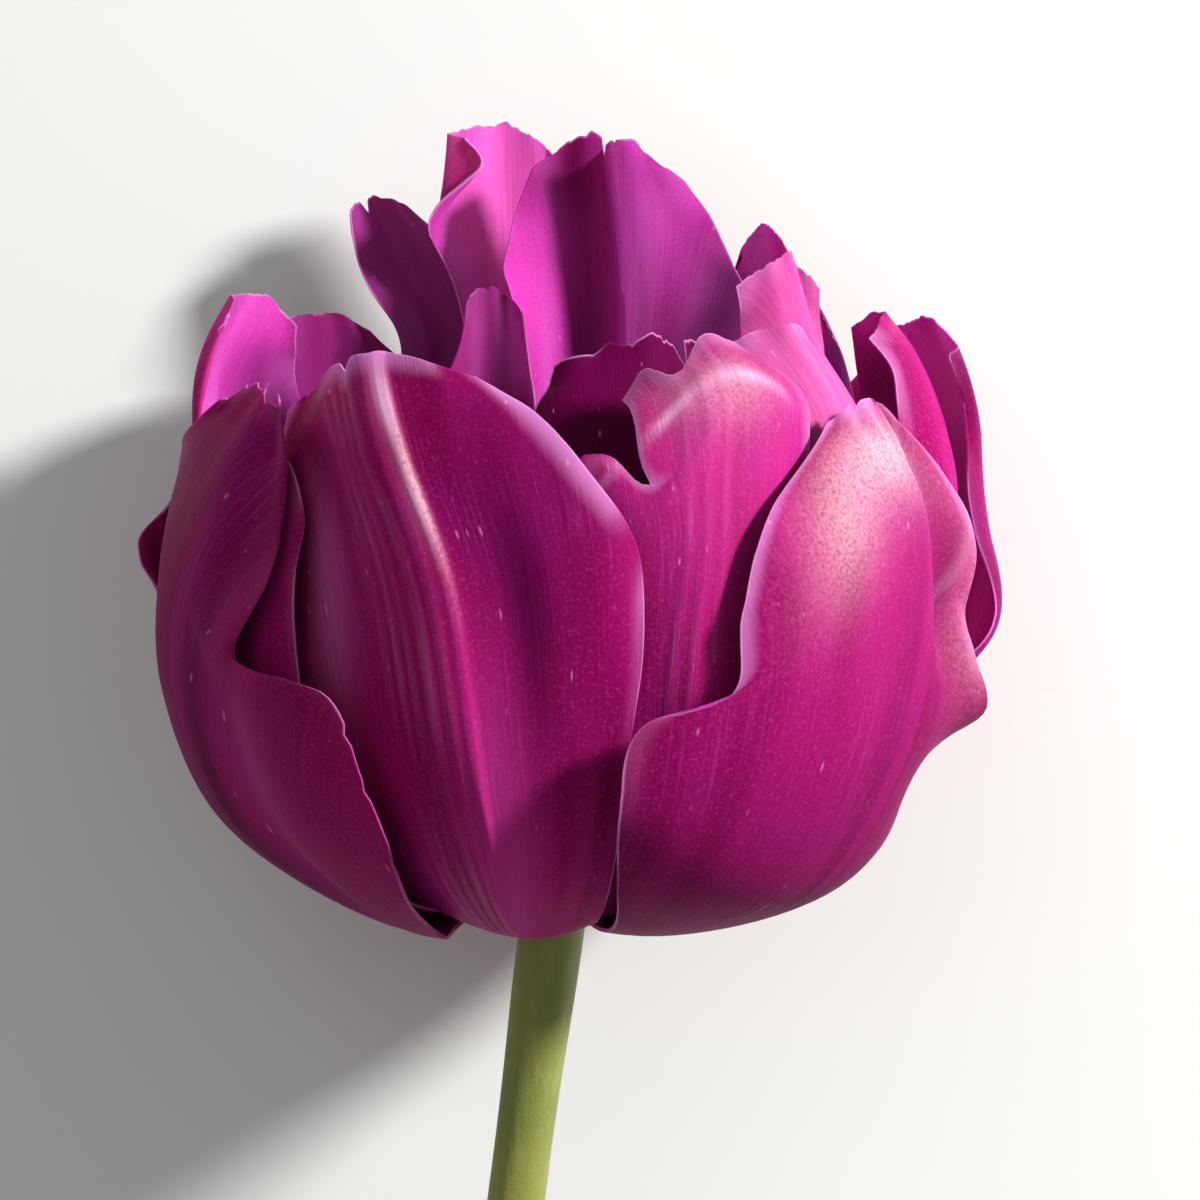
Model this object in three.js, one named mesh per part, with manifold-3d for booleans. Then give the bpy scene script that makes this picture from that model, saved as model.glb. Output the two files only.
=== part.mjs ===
// A cut double tulip lying on a table: a round ragged bloom of many petals in layers,
// its pistil and stamens, a long round stem and two stem leaves.
// Lengths are millimetres and angles are degrees. +Z is up and the stem runs along Y.
import * as THREE from "three";
import { mergeVertices } from "three/addons/utils/BufferGeometryUtils.js";
import Module from "manifold-3d";

// Bloom
const PETAL_THICKNESS = 0.85;
const PETAL_ROWS = 12;
const PETAL_COLUMNS = 8;
const HEART = [0, 0, 45];
const LAYER_SPACING = 1.4;
const PIECE_GAP = 0.3;
const WAVE_START = 0.25;
const RIGHT_WAVE_LAG = 2;
const RELIEF_GROWTH = 0.3;
const FOLD_GROWTH = 0.2;
const CURL_GROWTH = 0.15;
const BITE_SPREAD = 0.25;
const BITE_REACH = 0.2;

// Receptacle, where the petals are seated one above another
const SEAT_RADIUS = 5.2;
const SEAT_BOTTOM = 0.6;
const SEAT_STEP = 1.25;
const SEAT_HALF_ANGLE = 30;
const SEAT_SPARE_ANGLE = 2;
const DEEPEST_DIP = 2.2;
const RECEPTACLE_BEVEL = 0.6;

// How the flower lies: its axis leans up towards the bloom
const AXIS_TILT = 9.5;
const RECEPTACLE_HEIGHT = 37.6;
const TABLE_REACH = 0.2;

// Stem
const STEM_LENGTH = 220;
const STEM_SIDES = 12;
const STEM_RADIUS_TOP = 3.7;
const STEM_RADIUS_NECK = 3.2;
const STEM_RADIUS_CUT = 3.6;
const STEM_DRIFT = -18;
const STEM_SWAY = 3.6;
const STEM_STEPS = 14;
const STEM_TOP_SHARE = 0.008;
const STEM_NECK_SHARE = 0.13;
const STEM_SWELL_START = 0.3;
const RECEPTACLE_RADIUS = SEAT_RADIUS - PETAL_THICKNESS / 2 - PIECE_GAP;

// Leaves
const LEAF_THICKNESS = 1.1;
const LEAF_ROWS = 14;
const LEAF_COLUMNS = 6;
const LEAF_CHANNEL = 24;
const LEAF_TURN = 0.32;
const LEAF_CLASP_ROOM = 0.15;
const LEAF_ROLL_END = 0.45;
const LEAF_UNCLASP_END = 0.35;
const LEAF_RIPPLE = 1.2;
const LEAF_WAVES = 3;
const LEAF_WAVE_START = 0.3;
const LEAF_OUTLINE = [0.55, 0.85, 1, 0.94, 0.76, 0.46, 0.08];
const LEAVES = [
  { name: "leaf_lower", aboveCut: 20, side: -1, reach: 158, halfWidth: 20, spread: 36, arch: 9 },
  { name: "leaf_upper", aboveCut: 84, side: 1, reach: 98, halfWidth: 12.5, spread: 42, arch: 6 },
];

// Pistil and stamens: each line is [distance out from the axis, height above the foot, radius]
const PISTIL_SIDES = 9;
const PISTIL_LINE = [
  [0, 0, 3.5], [0, 0.9, 3.5], [0, 1.3, 2.3], [0, 6, 2.8], [0, 12, 2.7], [0, 17, 1.9], [0, 18.5, 1.9],
];
const STIGMA_LOBES = 3;
const LOBE_SIDES = 6;
const LOBE_LINE = [[-0.6, 18.6, 0.8], [0.8, 19.4, 1.5], [2.4, 19.6, 1.3], [3.3, 18.6, 0.5]];
const STAMENS = 6;
const STAMEN_SIDES = 5;
const STAMEN_LINE = [
  [2.6, 0.4, 0.8], [3.9, 5, 0.65], [4.4, 9, 0.45], [4.5, 9.8, 0.95], [4.7, 14, 1.2], [4.8, 18, 1],
  [4.7, 20, 0.4],
];

// Every petal, from the outermost in. A rail is a list of [azimuth, radius, height] round the bloom's axis,
// with azimuth 0 at the front and 90 at the right. Left and right are the petal's margins seen from outside.
// The wave of the margins is [depth, number of waves, phase]. Places across a petal run from -1 to 1
// and places along it from 0 to 1. A crease is [place across, width, rise, start along], a dent is
// [place along, place across, length, width, depth], a fold sets one side of the petal back and is
// [side, place across, width, depth, start along], and a curl rolls a margin in and is
// [side, place across where it begins, turn, depth, start along, end along]. A bite is a notch in a
// margin: [side, place along, half its length, how far in it cuts, how far its corner drops].
const PETALS = [
  {
    name: "petal_outer_left_back",
    seat: -165,
    left: [[-172, 20, -0.5], [-178, 36, 9], [-176, 45, 24], [-166, 46, 38], [-146, 44, 49]],
    rib: [[-142, 18, -1.6], [-138, 37, 8], [-136, 46, 24], [-132, 47, 38], [-124, 45, 50]],
    right: [[-114, 20, -0.5], [-108, 35, 9], [-104, 43.5, 23],
      [-100, 45, 34], [-98, 46.4, 40.5], [-106, 45, 44.8]],
    wave: [0.8, 2.5, 0.1],
    creases: [[0, 0.25, 0.5, 0.3]],
  },
  {
    name: "petal_outer_right",
    seat: 45,
    left: [[16, 21, -0.4], [11, 35, 6], [9, 44, 14], [11, 46.5, 23.5],
      [24, 46, 27], [25.5, 45.3, 35], [31.5, 43, 45.5], [47, 39.5, 54]],
    rib: [[46, 18, -2.8], [48, 36, 4], [52, 44, 17], [56, 46, 31],
      [60, 45, 43], [60, 42, 50.5], [59, 39, 56.5]],
    right: [[75, 20, -1], [86, 32, 5], [86, 36, 12], [80, 38, 16], [76, 48, 22],
      [74, 47, 28], [73, 45.5, 33], [73, 47, 40], [71, 44, 49], [65, 40, 55]],
    wave: [0.3, 2.5, 0.1],
    creases: [[0.42, 0.16, -1.1, 0.45]],
    dents: [[0.6, 0.62, 0.09, 0.2, 3]],
  },
  {
    name: "petal_outer_left",
    seat: -100,
    left: [[-108, 18, -1], [-122, 35, 10], [-128, 41, 26],
      [-118, 41.5, 40], [-90, 40.8, 50], [-68, 39, 55.5]],
    rib: [[-80, 18, -1.8], [-82, 35.5, 9], [-80, 43, 24],
      [-76, 43.3, 38], [-66, 40.5, 50], [-54, 37, 58.7]],
    right: [[-34, 20.5, -2.2], [-27, 33, 4], [-23, 45, 16], [-27.5, 47.8, 26.5],
      [-47.5, 44.8, 29.5], [-43.5, 43, 37.5], [-43, 41, 48], [-51, 37.5, 57.5]],
    wave: [0.2, 2.5, 0.1],
    creases: [[0.72, 0.16, -1, 0.45]],
    dents: [[0.36, 0.5, 0.2, 0.12, 2], [0.4, 0.85, 0.14, 0.3, -1.4]],
  },
  {
    name: "petal_outer_right_back",
    seat: 112,
    left: [[88, 20, -0.5], [95, 34, 10], [101, 43, 21], [99, 51.5, 29],
      [102, 50, 40], [103, 50.5, 50], [109, 48.5, 60]],
    rib: [[112, 17, -1.6], [113, 36, 8], [114, 47, 24], [114, 51, 40], [114, 50, 54], [117, 47.5, 64.5]],
    right: [[136, 20, -0.5], [146, 37, 10], [150, 44, 25], [146, 46, 42], [135, 46, 55], [123, 46.5, 62.5]],
    wave: [0.9, 3, 0.3],
    creases: [[0, 0.25, 0.5, 0.3]],
    curls: [[-1, 0.84, 1.4, 1.4, 0.35, 2]],
  },
  {
    name: "petal_outer_back",
    seat: 178,
    left: [[146, 19, 0], [132, 36, 9], [126, 43, 25], [130, 43, 42], [152, 40, 53]],
    rib: [[172, 17, -1.2], [172, 36, 7], [172, 44.5, 24], [172, 44, 42], [172, 38, 58]],
    right: [[202, 19, 0], [216, 35, 9], [222, 42, 25], [216, 43, 42], [192, 40, 53]],
    wave: [0.8, 2.5, 0.1],
    creases: [[0, 0.25, 0.5, 0.3]],
  },
  {
    name: "petal_under_left",
    seat: -82,
    left: [[-86, 19, 0], [-100, 33, 9], [-104, 39, 24], [-90, 38, 42], [-70, 38, 50]],
    rib: [[-66, 17, -0.5], [-64, 33, 8], [-60, 40.5, 24], [-57, 41.5, 40], [-56, 39, 52]],
    right: [[-46, 19, 0.2], [-43, 32, 8], [-42, 40, 22], [-40.5, 42, 38], [-42, 41.5, 46], [-48, 39.5, 51]],
    wave: [0.8, 2.5, 0.1],
    creases: [[0, 0.25, 0.5, 0.3]],
  },
  {
    name: "petal_outer_front",
    seat: -18,
    left: [[-58, 20, -1.4], [-59, 31.5, 6.6], [-55, 38, 22],
      [-56, 38.5, 36], [-59, 37, 47.5], [-55, 37, 55.5]],
    rib: [[-12, 17, -1.8], [-10, 34, 6], [-11, 44, 20], [-14, 46.5, 38], [-21, 44.5, 51], [-28, 40, 61.8]],
    right: [[12, 22, -1.2], [11, 34, 7], [11, 41, 19], [13, 43, 33],
      [12, 42.5, 42.5], [5, 41.5, 50], [-3, 40.5, 56], [-13, 40, 60]],
    wave: [0.4, 2.5, 0.1],
    creases: [[-0.07, 0.12, 1.3, 0.25]],
    dents: [[0.62, -0.55, 0.3, 0.28, 2.6], [0.6, 0.3, 0.16, 0.2, 1.3]],
  },
  {
    name: "petal_second_left_back",
    seat: -158,
    left: [[-184, 18, 2], [-192, 33, 11], [-192, 40, 26], [-182, 41, 42], [-166, 42, 54], [-151, 43, 60.5]],
    rib: [[-156, 16, 1], [-154, 34, 10], [-150, 42, 25], [-146, 43, 42], [-142, 43, 56], [-142, 43.5, 65]],
    right: [[-128, 18, 2], [-118, 33, 11], [-112, 40, 26],
      [-114, 42, 42], [-122, 43, 56], [-132, 43.5, 63.5]],
    wave: [0.8, 2.5, 0.1],
    creases: [[0, 0.25, 0.5, 0.3]],
  },
  {
    name: "petal_second_left",
    seat: -108,
    left: [[-134, 19, 0.8], [-142, 34, 11], [-143, 40, 27],
      [-138, 41, 44], [-133, 41, 57], [-131, 40.5, 63.5]],
    rib: [[-112, 16, -0.4], [-112, 34, 9], [-112, 42, 26],
      [-110, 43, 44], [-115, 42.5, 58], [-124, 41.5, 67.5]],
    right: [[-88, 19, 0.8], [-84, 35, 10], [-84, 40, 26],
      [-86, 42.5, 40], [-98, 43.5, 51], [-115, 42.5, 63.5]],
    wave: [0.8, 2.5, 0.1],
    creases: [[0.35, 0.13, 1.6, 0.5]],
  },
  {
    name: "petal_second_front_right",
    seat: 28,
    left: [[4, 26, 5], [4, 36, 18], [6, 38.5, 33], [3, 37.5, 47.5], [9, 35.5, 53.5], [18, 28, 59.5]],
    rib: [[28, 16, 0], [26, 34, 9], [25, 41, 21], [26, 42, 32],
      [28, 41.3, 42.5], [29, 40.2, 50.5], [30.5, 38, 58], [31, 31, 63.2]],
    right: [[52, 19, 1], [54, 33, 10], [52, 40, 24], [44, 41, 36],
      [43, 40, 46], [45, 38, 53], [46, 36, 57.5], [42, 31.5, 61]],
    wave: [0.3, 2.5, 0.6],
    creases: [[0, 0.25, 0.5, 0.3]],
    bites: [[-1, 0.8333, 0.0833, 0.46, 0.13]],
  },
  {
    name: "petal_second_right",
    seat: 88,
    left: [[66, 18, 2], [66, 31, 11], [70, 38, 25], [82, 39, 40],
      [90, 38, 50], [93, 36.5, 57], [95, 35.5, 62.5]],
    rib: [[92, 16, 1], [92, 33, 10], [94, 41, 25], [97, 44, 42],
      [102, 43.5, 52], [106, 41, 60], [108, 37.5, 65]],
    right: [[116, 18, 2], [122, 32, 11], [124, 41, 26], [122, 43, 42], [119, 40.5, 52], [116, 38, 63.5]],
    wave: [0.8, 2.5, 0.1],
    creases: [[0, 0.25, 0.5, 0.3]],
  },
  {
    name: "petal_second_back",
    seat: 146,
    left: [[124, 19, 1], [116, 34, 10], [114, 40, 26], [118, 41, 43], [130, 40, 54]],
    rib: [[148, 16, -0.2], [148, 34, 9], [148, 41, 26], [148, 42, 43], [148, 38, 57]],
    right: [[174, 19, 1], [182, 33, 10], [184, 40, 26], [180, 41, 43], [166, 39, 54]],
    wave: [0.8, 2.5, 0.1],
    creases: [[0, 0.25, 0.5, 0.3]],
  },
  {
    name: "petal_second_front",
    seat: -30,
    left: [[-52, 18, 2], [-60, 31, 11], [-62, 36, 26], [-58, 35, 42], [-44, 35, 52]],
    rib: [[-28, 16, 1], [-30, 33, 10], [-31, 39, 25], [-32, 39, 42], [-32, 35, 56]],
    right: [[-4, 18, 2], [0, 32, 11], [0, 38, 26], [-6, 38, 42], [-18, 36, 52]],
    wave: [0.8, 2.5, 0.1],
    creases: [[0, 0.25, 0.5, 0.3]],
  },
  {
    name: "petal_third_right",
    seat: 54,
    left: [[32, 17, 3], [30, 30, 12], [31, 35, 26], [33, 34, 42], [39, 30, 55], [45, 27, 62.5]],
    rib: [[54, 15, 2.2], [54, 32, 11], [54, 38, 26], [56, 38, 42], [57, 35, 54], [55, 29.5, 64.5]],
    right: [[78, 17, 3], [82, 30, 12], [82, 36, 26], [78, 37, 42], [73, 35, 54], [64, 31, 62.5]],
    wave: [0.8, 2.5, 0.1],
    creases: [[0, 0.25, 0.5, 0.3]],
  },
  {
    name: "petal_third_left",
    seat: -88,
    left: [[-112, 17, 3], [-118, 30, 12], [-118, 35, 26], [-112, 35, 42], [-98, 33, 52]],
    rib: [[-86, 15, 2.2], [-86, 31, 11], [-86, 37, 26], [-84, 37, 42], [-82, 32, 54]],
    right: [[-60, 17, 3], [-52, 30, 12], [-52, 36, 26], [-56, 35, 42], [-68, 33, 52]],
    wave: [0.8, 2.5, 0.1],
    creases: [[0, 0.25, 0.5, 0.3]],
  },
  {
    name: "petal_back_low_left",
    seat: -140,
    left: [[-164, 17, 3], [-172, 29, 13], [-172, 34, 28], [-172, 35.5, 46],
      [-169, 37, 60], [-165, 42, 70], [-158, 46, 76.5]],
    rib: [[-140, 15, 2.2], [-142, 30, 12], [-146, 35, 28], [-152, 36.5, 46],
      [-160, 37.5, 60], [-156, 42.5, 70], [-153, 47, 78]],
    right: [[-114, 17, 3], [-118, 29, 13], [-128, 34, 28], [-142, 36, 46],
      [-151, 38, 60], [-148, 43, 69], [-147, 46.5, 76.5]],
    wave: [1, 3, 0.4],
    creases: [[0, 0.25, 0.5, 0.3]],
  },
  {
    name: "petal_back_tall_left",
    seat: 190,
    left: [[164, 17, 3], [156, 29, 13], [156, 34, 28], [164, 34, 48], [172, 34, 66], [180, 36.5, 82.5]],
    rib: [[188, 15, 2.2], [186, 30, 12], [187, 36, 28], [188, 36, 48], [190, 36, 68], [191, 38, 87]],
    right: [[212, 17, 3], [214, 29, 13], [210, 34, 28], [201, 33, 48],
      [200, 32.5, 64], [207, 36.5, 77], [203, 38, 84.5]],
    wave: [0.8, 2.5, 0.1],
    creases: [[0, 0.25, 0.5, 0.3]],
    curls: [[1, 0.7, 10, 3, 0.8, 1.08]],
  },
  {
    name: "petal_third_right_back",
    seat: 128,
    left: [[104, 16, 4], [96, 28, 13], [92, 33, 28], [92, 34, 44], [100, 33, 57], [124, 32, 70]],
    rib: [[128, 14, 3.4], [126, 29, 12], [124, 34, 28], [124, 34, 46], [129, 33, 62], [134, 32, 75]],
    right: [[152, 16, 4], [156, 28, 13], [156, 33, 28], [153, 33, 46], [147, 32, 60], [139, 32, 71]],
    wave: [0.8, 2.5, 0.1],
    creases: [[0, 0.25, 0.5, 0.3]],
  },
  {
    name: "petal_third_front",
    seat: 2,
    left: [[-24, 16, 4], [-30, 28, 13], [-34, 33, 27], [-30, 33, 37], [-14, 32, 44]],
    rib: [[2, 14, 3.4], [3, 29, 12], [4, 34, 26], [5, 34, 38], [6, 31, 46]],
    right: [[28, 16, 4], [34, 28, 13], [36, 33, 27], [33, 33, 36], [21, 31, 44]],
    wave: [0.8, 2.5, 0.1],
    creases: [[0, 0.25, 0.5, 0.3]],
  },
  {
    name: "petal_inner_right",
    seat: 85,
    left: [[62, 15, 5], [56, 25, 14], [56, 29, 28], [60, 27, 46], [70, 21, 60], [79, 20.5, 68]],
    rib: [[84, 13, 4.6], [84, 26, 13], [84, 31, 28], [84, 31, 46], [85, 28.5, 60], [88, 25, 72.3]],
    right: [[108, 15, 5], [112, 25, 14], [110, 30, 28], [102, 31, 46], [94, 30.5, 58], [90, 29.5, 68]],
    wave: [0.8, 2.5, 0.1],
    creases: [[0, 0.25, 0.5, 0.3]],
  },
  {
    name: "petal_inner_left",
    seat: -64,
    left: [[-90, 15, 5], [-96, 25, 14], [-98, 30, 28], [-94, 30, 42], [-80, 28, 53]],
    rib: [[-64, 13, 4.6], [-64, 26, 13], [-64, 31, 28], [-64, 31, 42], [-62, 27, 56]],
    right: [[-38, 15, 5], [-30, 25, 14], [-28, 30, 28], [-34, 30, 42], [-46, 27, 54]],
    wave: [0.8, 2.5, 0.1],
    creases: [[0, 0.25, 0.5, 0.3]],
  },
  {
    name: "petal_back_tall",
    seat: 170,
    left: [[146, 15, 5], [134, 24, 14], [124, 28, 30], [114, 28, 48],
      [120, 29, 61], [138, 35.6, 72], [153, 33.8, 80.5]],
    rib: [[170, 13, 4.6], [170, 25, 13], [169, 29, 30], [167, 30, 48], [166, 30.5, 68], [168, 29.5, 85.8]],
    right: [[196, 15, 5], [206, 24, 14], [208, 28, 30], [203, 26, 48],
      [192, 24, 62], [193, 26.5, 71], [186, 28.5, 81.5]],
    wave: [0.7, 4, 0.2],
    folds: [[-1, 0, 0.14, 3.8, 0.5]],
  },
  {
    name: "petal_inner_front",
    seat: 22,
    left: [[-4, 14, 6], [-14, 22, 15], [-18, 26, 28], [-16, 25, 42], [-8, 19, 54], [2, 15, 60]],
    rib: [[24, 12, 5.8], [24, 23, 14], [24, 27, 28], [26, 26, 42], [32, 21, 54], [40, 17, 63.5]],
    right: [[50, 14, 6], [58, 22, 15], [66, 26, 28], [68, 25, 42], [66, 21, 54], [60, 18, 62]],
    wave: [0.8, 2.5, 0.1],
    creases: [[0, 0.25, 0.5, 0.3]],
  },
  {
    name: "petal_inner_back_left",
    seat: -130,
    left: [[-156, 14, 6], [-165, 22, 15], [-172, 24, 28], [-176, 20, 44], [-172, 16, 55], [-166, 16, 65]],
    rib: [[-130, 12, 5.8], [-134, 22, 14], [-140, 25, 28], [-146, 22, 44], [-152, 17, 57], [-152, 16, 68]],
    right: [[-104, 14, 6], [-98, 22, 15], [-100, 25, 28], [-112, 22, 44], [-130, 18, 56], [-141, 16, 66]],
    wave: [0.8, 2.5, 0.1],
    creases: [[0, 0.25, 0.5, 0.3]],
  },
];

const PETAL_COLOR = 0xa01f72;
const STEM_COLOR = 0x6f7a38;
const LEAF_COLOR = 0x6f9a72;
const PISTIL_COLOR = 0xa9a552;
const PETAL_ROUGHNESS = 0.45;
const GREEN_ROUGHNESS = 0.6;

const radians = THREE.MathUtils.degToRad;
const degrees = THREE.MathUtils.radToDeg;
const add = (a, b) => a.map((value, k) => value + b[k]);
const sub = (a, b) => a.map((value, k) => value - b[k]);
const scale = (a, factor) => a.map((value) => value * factor);
const dot = (a, b) => a[0] * b[0] + a[1] * b[1] + a[2] * b[2];
const cross = (a, b) => [a[1] * b[2] - a[2] * b[1], a[2] * b[0] - a[0] * b[2], a[0] * b[1] - a[1] * b[0]];
const length = (a) => Math.hypot(...a);
const unit = (a) => scale(a, 1 / length(a));
const bell = (value) => Math.exp(-value * value);
const clamp = (value, low, high) => Math.min(high, Math.max(low, value));
const ease = (value) => THREE.MathUtils.smoothstep(value, 0, 1);

// A smooth curve through evenly spaced points, read at share 0 to 1 of its length
function along(points, share) {
  const last = points.length - 1;
  const place = clamp(share * last, 0, last - 1e-9);
  const k = Math.floor(place);
  const f = place - k;
  const before = k > 0 ? points[k - 1] : sub(scale(points[0], 2), points[1]);
  const after = k + 2 <= last ? points[k + 2] : sub(scale(points[last], 2), points[last - 1]);
  const weights = [
    ((2 - f) * f - 1) * f / 2,
    ((3 * f - 5) * f * f + 2) / 2,
    ((4 - 3 * f) * f + 1) * f / 2,
    (f - 1) * f * f / 2,
  ];
  return [before, points[k], points[k + 1], after]
    .map((point, n) => scale(point, weights[n]))
    .reduce(add);
}

// Each petal is seated as low on the receptacle as the ones already there leave room
function seatLevels() {
  const levels = [];
  PETALS.forEach((petal, k) => {
    let level = 0;
    PETALS.slice(0, k).forEach((other, n) => {
      const turn = petal.seat - other.seat;
      const apart = Math.abs(THREE.MathUtils.euclideanModulo(turn + 180, 360) - 180);
      if (apart < 2 * SEAT_HALF_ANGLE + SEAT_SPARE_ANGLE) {
        level = Math.max(level, levels[n] + 1);
      }
    });
    levels.push(level);
  });
  return levels;
}

// The middle surface of a petal, as rows of points from its seat to its tip
function petalGrid(petal, level) {
  const seatHeight = SEAT_BOTTOM + SEAT_STEP * level;
  const lowest = seatHeight - DEEPEST_DIP;
  const rail = ([[azimuth, radius, height], ...rest], turn) => [
    [petal.seat + turn, SEAT_RADIUS, seatHeight],
    [azimuth, radius, Math.max(height, lowest)],
    ...rest,
  ];
  const left = rail(petal.left, -SEAT_HALF_ANGLE);
  const rib = rail(petal.rib, 0);
  const right = rail(petal.right, SEAT_HALF_ANGLE);
  const [depth, waves, phase] = petal.wave;
  const { creases = [], dents = [], folds = [], curls = [], bites = [] } = petal;
  const grid = [];
  for (let i = 0; i <= PETAL_ROWS; i += 1) {
    const row = [];
    for (let j = 0; j <= PETAL_COLUMNS; j += 1) {
      let share = i / PETAL_ROWS;
      let across = 2 * j / PETAL_COLUMNS - 1;
      bites.forEach(([way, at, length, cut, drop]) => {
        const open = Math.max(0, 1 - Math.abs(share - at) / length);
        across *= way * across > 0 ? 1 - cut * open : 1;
        const under = bell((way * across - 1 + cut) / BITE_SPREAD) * bell((share - at) / BITE_REACH);
        share -= drop * under;
      });
      const out = Math.abs(across);
      const middle = along(rib, share);
      const margin = along(across < 0 ? left : right, share);
      const turn = 2 * Math.PI * (waves * share + phase) + (across > 0 ? RIGHT_WAVE_LAG : 0);
      let azimuth = middle[0] + (margin[0] - middle[0]) * out;
      let radius = middle[1] + (margin[1] - middle[1]) * out * out;
      radius += depth * out ** 3 * Math.sin(turn) * ease((share - WAVE_START) / RELIEF_GROWTH);
      creases.forEach(([place, width, rise, start]) => {
        radius += rise * bell((across - place) / width) * ease((share - start) / RELIEF_GROWTH);
      });
      dents.forEach(([at, place, length, width, sink]) => {
        radius -= sink * bell((share - at) / length) * bell((across - place) / width);
      });
      folds.forEach(([way, place, width, sink, start]) => {
        radius -= sink * ease((way * across - place) / width + 0.5) * ease((share - start) / FOLD_GROWTH);
      });
      curls.forEach(([way, begin, turned, sink, start, end]) => {
        const grown = ease((share - start) / CURL_GROWTH) * ease((end - share) / CURL_GROWTH);
        const curl = ease((way * across - begin) / (1 - begin)) * grown;
        azimuth -= way * turned * curl;
        radius -= sink * curl;
      });
      const height = middle[2] + (margin[2] - middle[2]) * out * out;
      row.push([radius * Math.sin(radians(azimuth)), -radius * Math.cos(radians(azimuth)), height]);
    }
    grid.push(row);
  }
  return grid;
}

// A finer grid through the points of a coarse one
function refine(grid, steps) {
  const rows = (grid.length - 1) * steps;
  const columns = (grid[0].length - 1) * steps;
  const fine = [];
  for (let i = 0; i <= rows; i += 1) {
    const row = grid[0].map((_, j) => along(grid.map((line) => line[j]), i / rows));
    fine.push(Array.from({ length: columns + 1 }, (_, j) => along(row, j / columns)));
  }
  return fine;
}

const tilt = radians(AXIS_TILT);
const SKY = [0, -Math.cos(tilt), Math.sin(tilt)];
const CELL = 3;
const AZIMUTH_CELLS = 360 / CELL;
const RISE_CELLS = 180 / CELL;

// Where a point lies, seen from the bloom's heart: its distance and its cell of the sky round it
function fromHeart(point) {
  const away = sub(point, HEART);
  const distance = length(away);
  const azimuth = THREE.MathUtils.euclideanModulo(degrees(Math.atan2(away[0], -away[1])), 360);
  const rise = degrees(Math.asin(clamp(away[2] / distance, -1, 1))) + 90;
  const column = Math.floor(azimuth / CELL) % AZIMUTH_CELLS;
  const line = Math.min(RISE_CELLS - 1, Math.floor(rise / CELL));
  return { away, distance, column, line };
}

// Bends each petal in, from the outermost on, until it clears those already placed.
// The ones underneath are first flattened where they rest on the table.
const SPREAD_ROUNDS = 6;
const SPREAD_SHARE = 0.92;
const CELL_GRADE = 0.4;
const REFINE_STEPS = 6;
const SEAT_HOLD = [0, 0.6];

function nest(grids) {
  const limit = Array.from({ length: AZIMUTH_CELLS }, () => new Array(RISE_CELLS).fill(Infinity));
  return grids.map((grid) => {
    const rested = grid.map((row) => row.map((point) => {
      const height = RECEPTACLE_HEIGHT + dot(point, SKY);
      return add(point, scale(SKY, Math.max(0, PETAL_THICKNESS / 2 - height)));
    }));
    const need = rested.map((row, i) => row.map((point) => {
      const { distance, column, line } = fromHeart(point);
      const hold = i < SEAT_HOLD.length ? SEAT_HOLD[i] : 1;
      return hold * Math.max(0, distance - limit[column][line]);
    }));
    let push = need;
    const lastRow = grid.length - 1;
    const lastColumn = grid[0].length - 1;
    for (let round = 0; round < SPREAD_ROUNDS; round += 1) {
      push = need.map((row, i) => row.map((value, j) => {
        const around = push[Math.max(0, i - 1)][j] + push[Math.min(lastRow, i + 1)][j]
          + push[i][Math.max(0, j - 1)] + push[i][Math.min(lastColumn, j + 1)];
        return Math.max(value, SPREAD_SHARE * around / 4);
      }));
    }
    const bent = rested.map((row, i) => row.map((point, j) => {
      const { away, distance } = fromHeart(point);
      return i === 0 ? point : sub(point, scale(away, push[i][j] / distance));
    }));
    const own = Array.from({ length: AZIMUTH_CELLS }, () => new Array(RISE_CELLS).fill(Infinity));
    refine(bent, REFINE_STEPS).flat().forEach((point) => {
      const { distance, column, line } = fromHeart(point);
      own[column][line] = Math.min(own[column][line], distance - LAYER_SPACING);
    });
    own.forEach((cells, column) => cells.forEach((value, line) => {
      for (let aside = -1; aside <= 1; aside += 1) {
        for (let above = -1; above <= 1; above += 1) {
          const to = (column + aside + AZIMUTH_CELLS) % AZIMUTH_CELLS;
          const at = line + above;
          if (at >= 0 && at < RISE_CELLS) {
            const grade = aside || above ? CELL_GRADE : 0;
            limit[to][at] = Math.min(limit[to][at], value + grade);
          }
        }
      }
    }));
    return bent;
  });
}

function normals(grid) {
  const lastRow = grid.length - 1;
  const lastColumn = grid[0].length - 1;
  return grid.map((row, i) => row.map((_, j) => {
    const lengthwise = sub(grid[Math.min(lastRow, i + 1)][j], grid[Math.max(0, i - 1)][j]);
    const crosswise = sub(row[Math.min(lastColumn, j + 1)], row[Math.max(0, j - 1)]);
    return unit(cross(lengthwise, crosswise));
  }));
}

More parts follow.
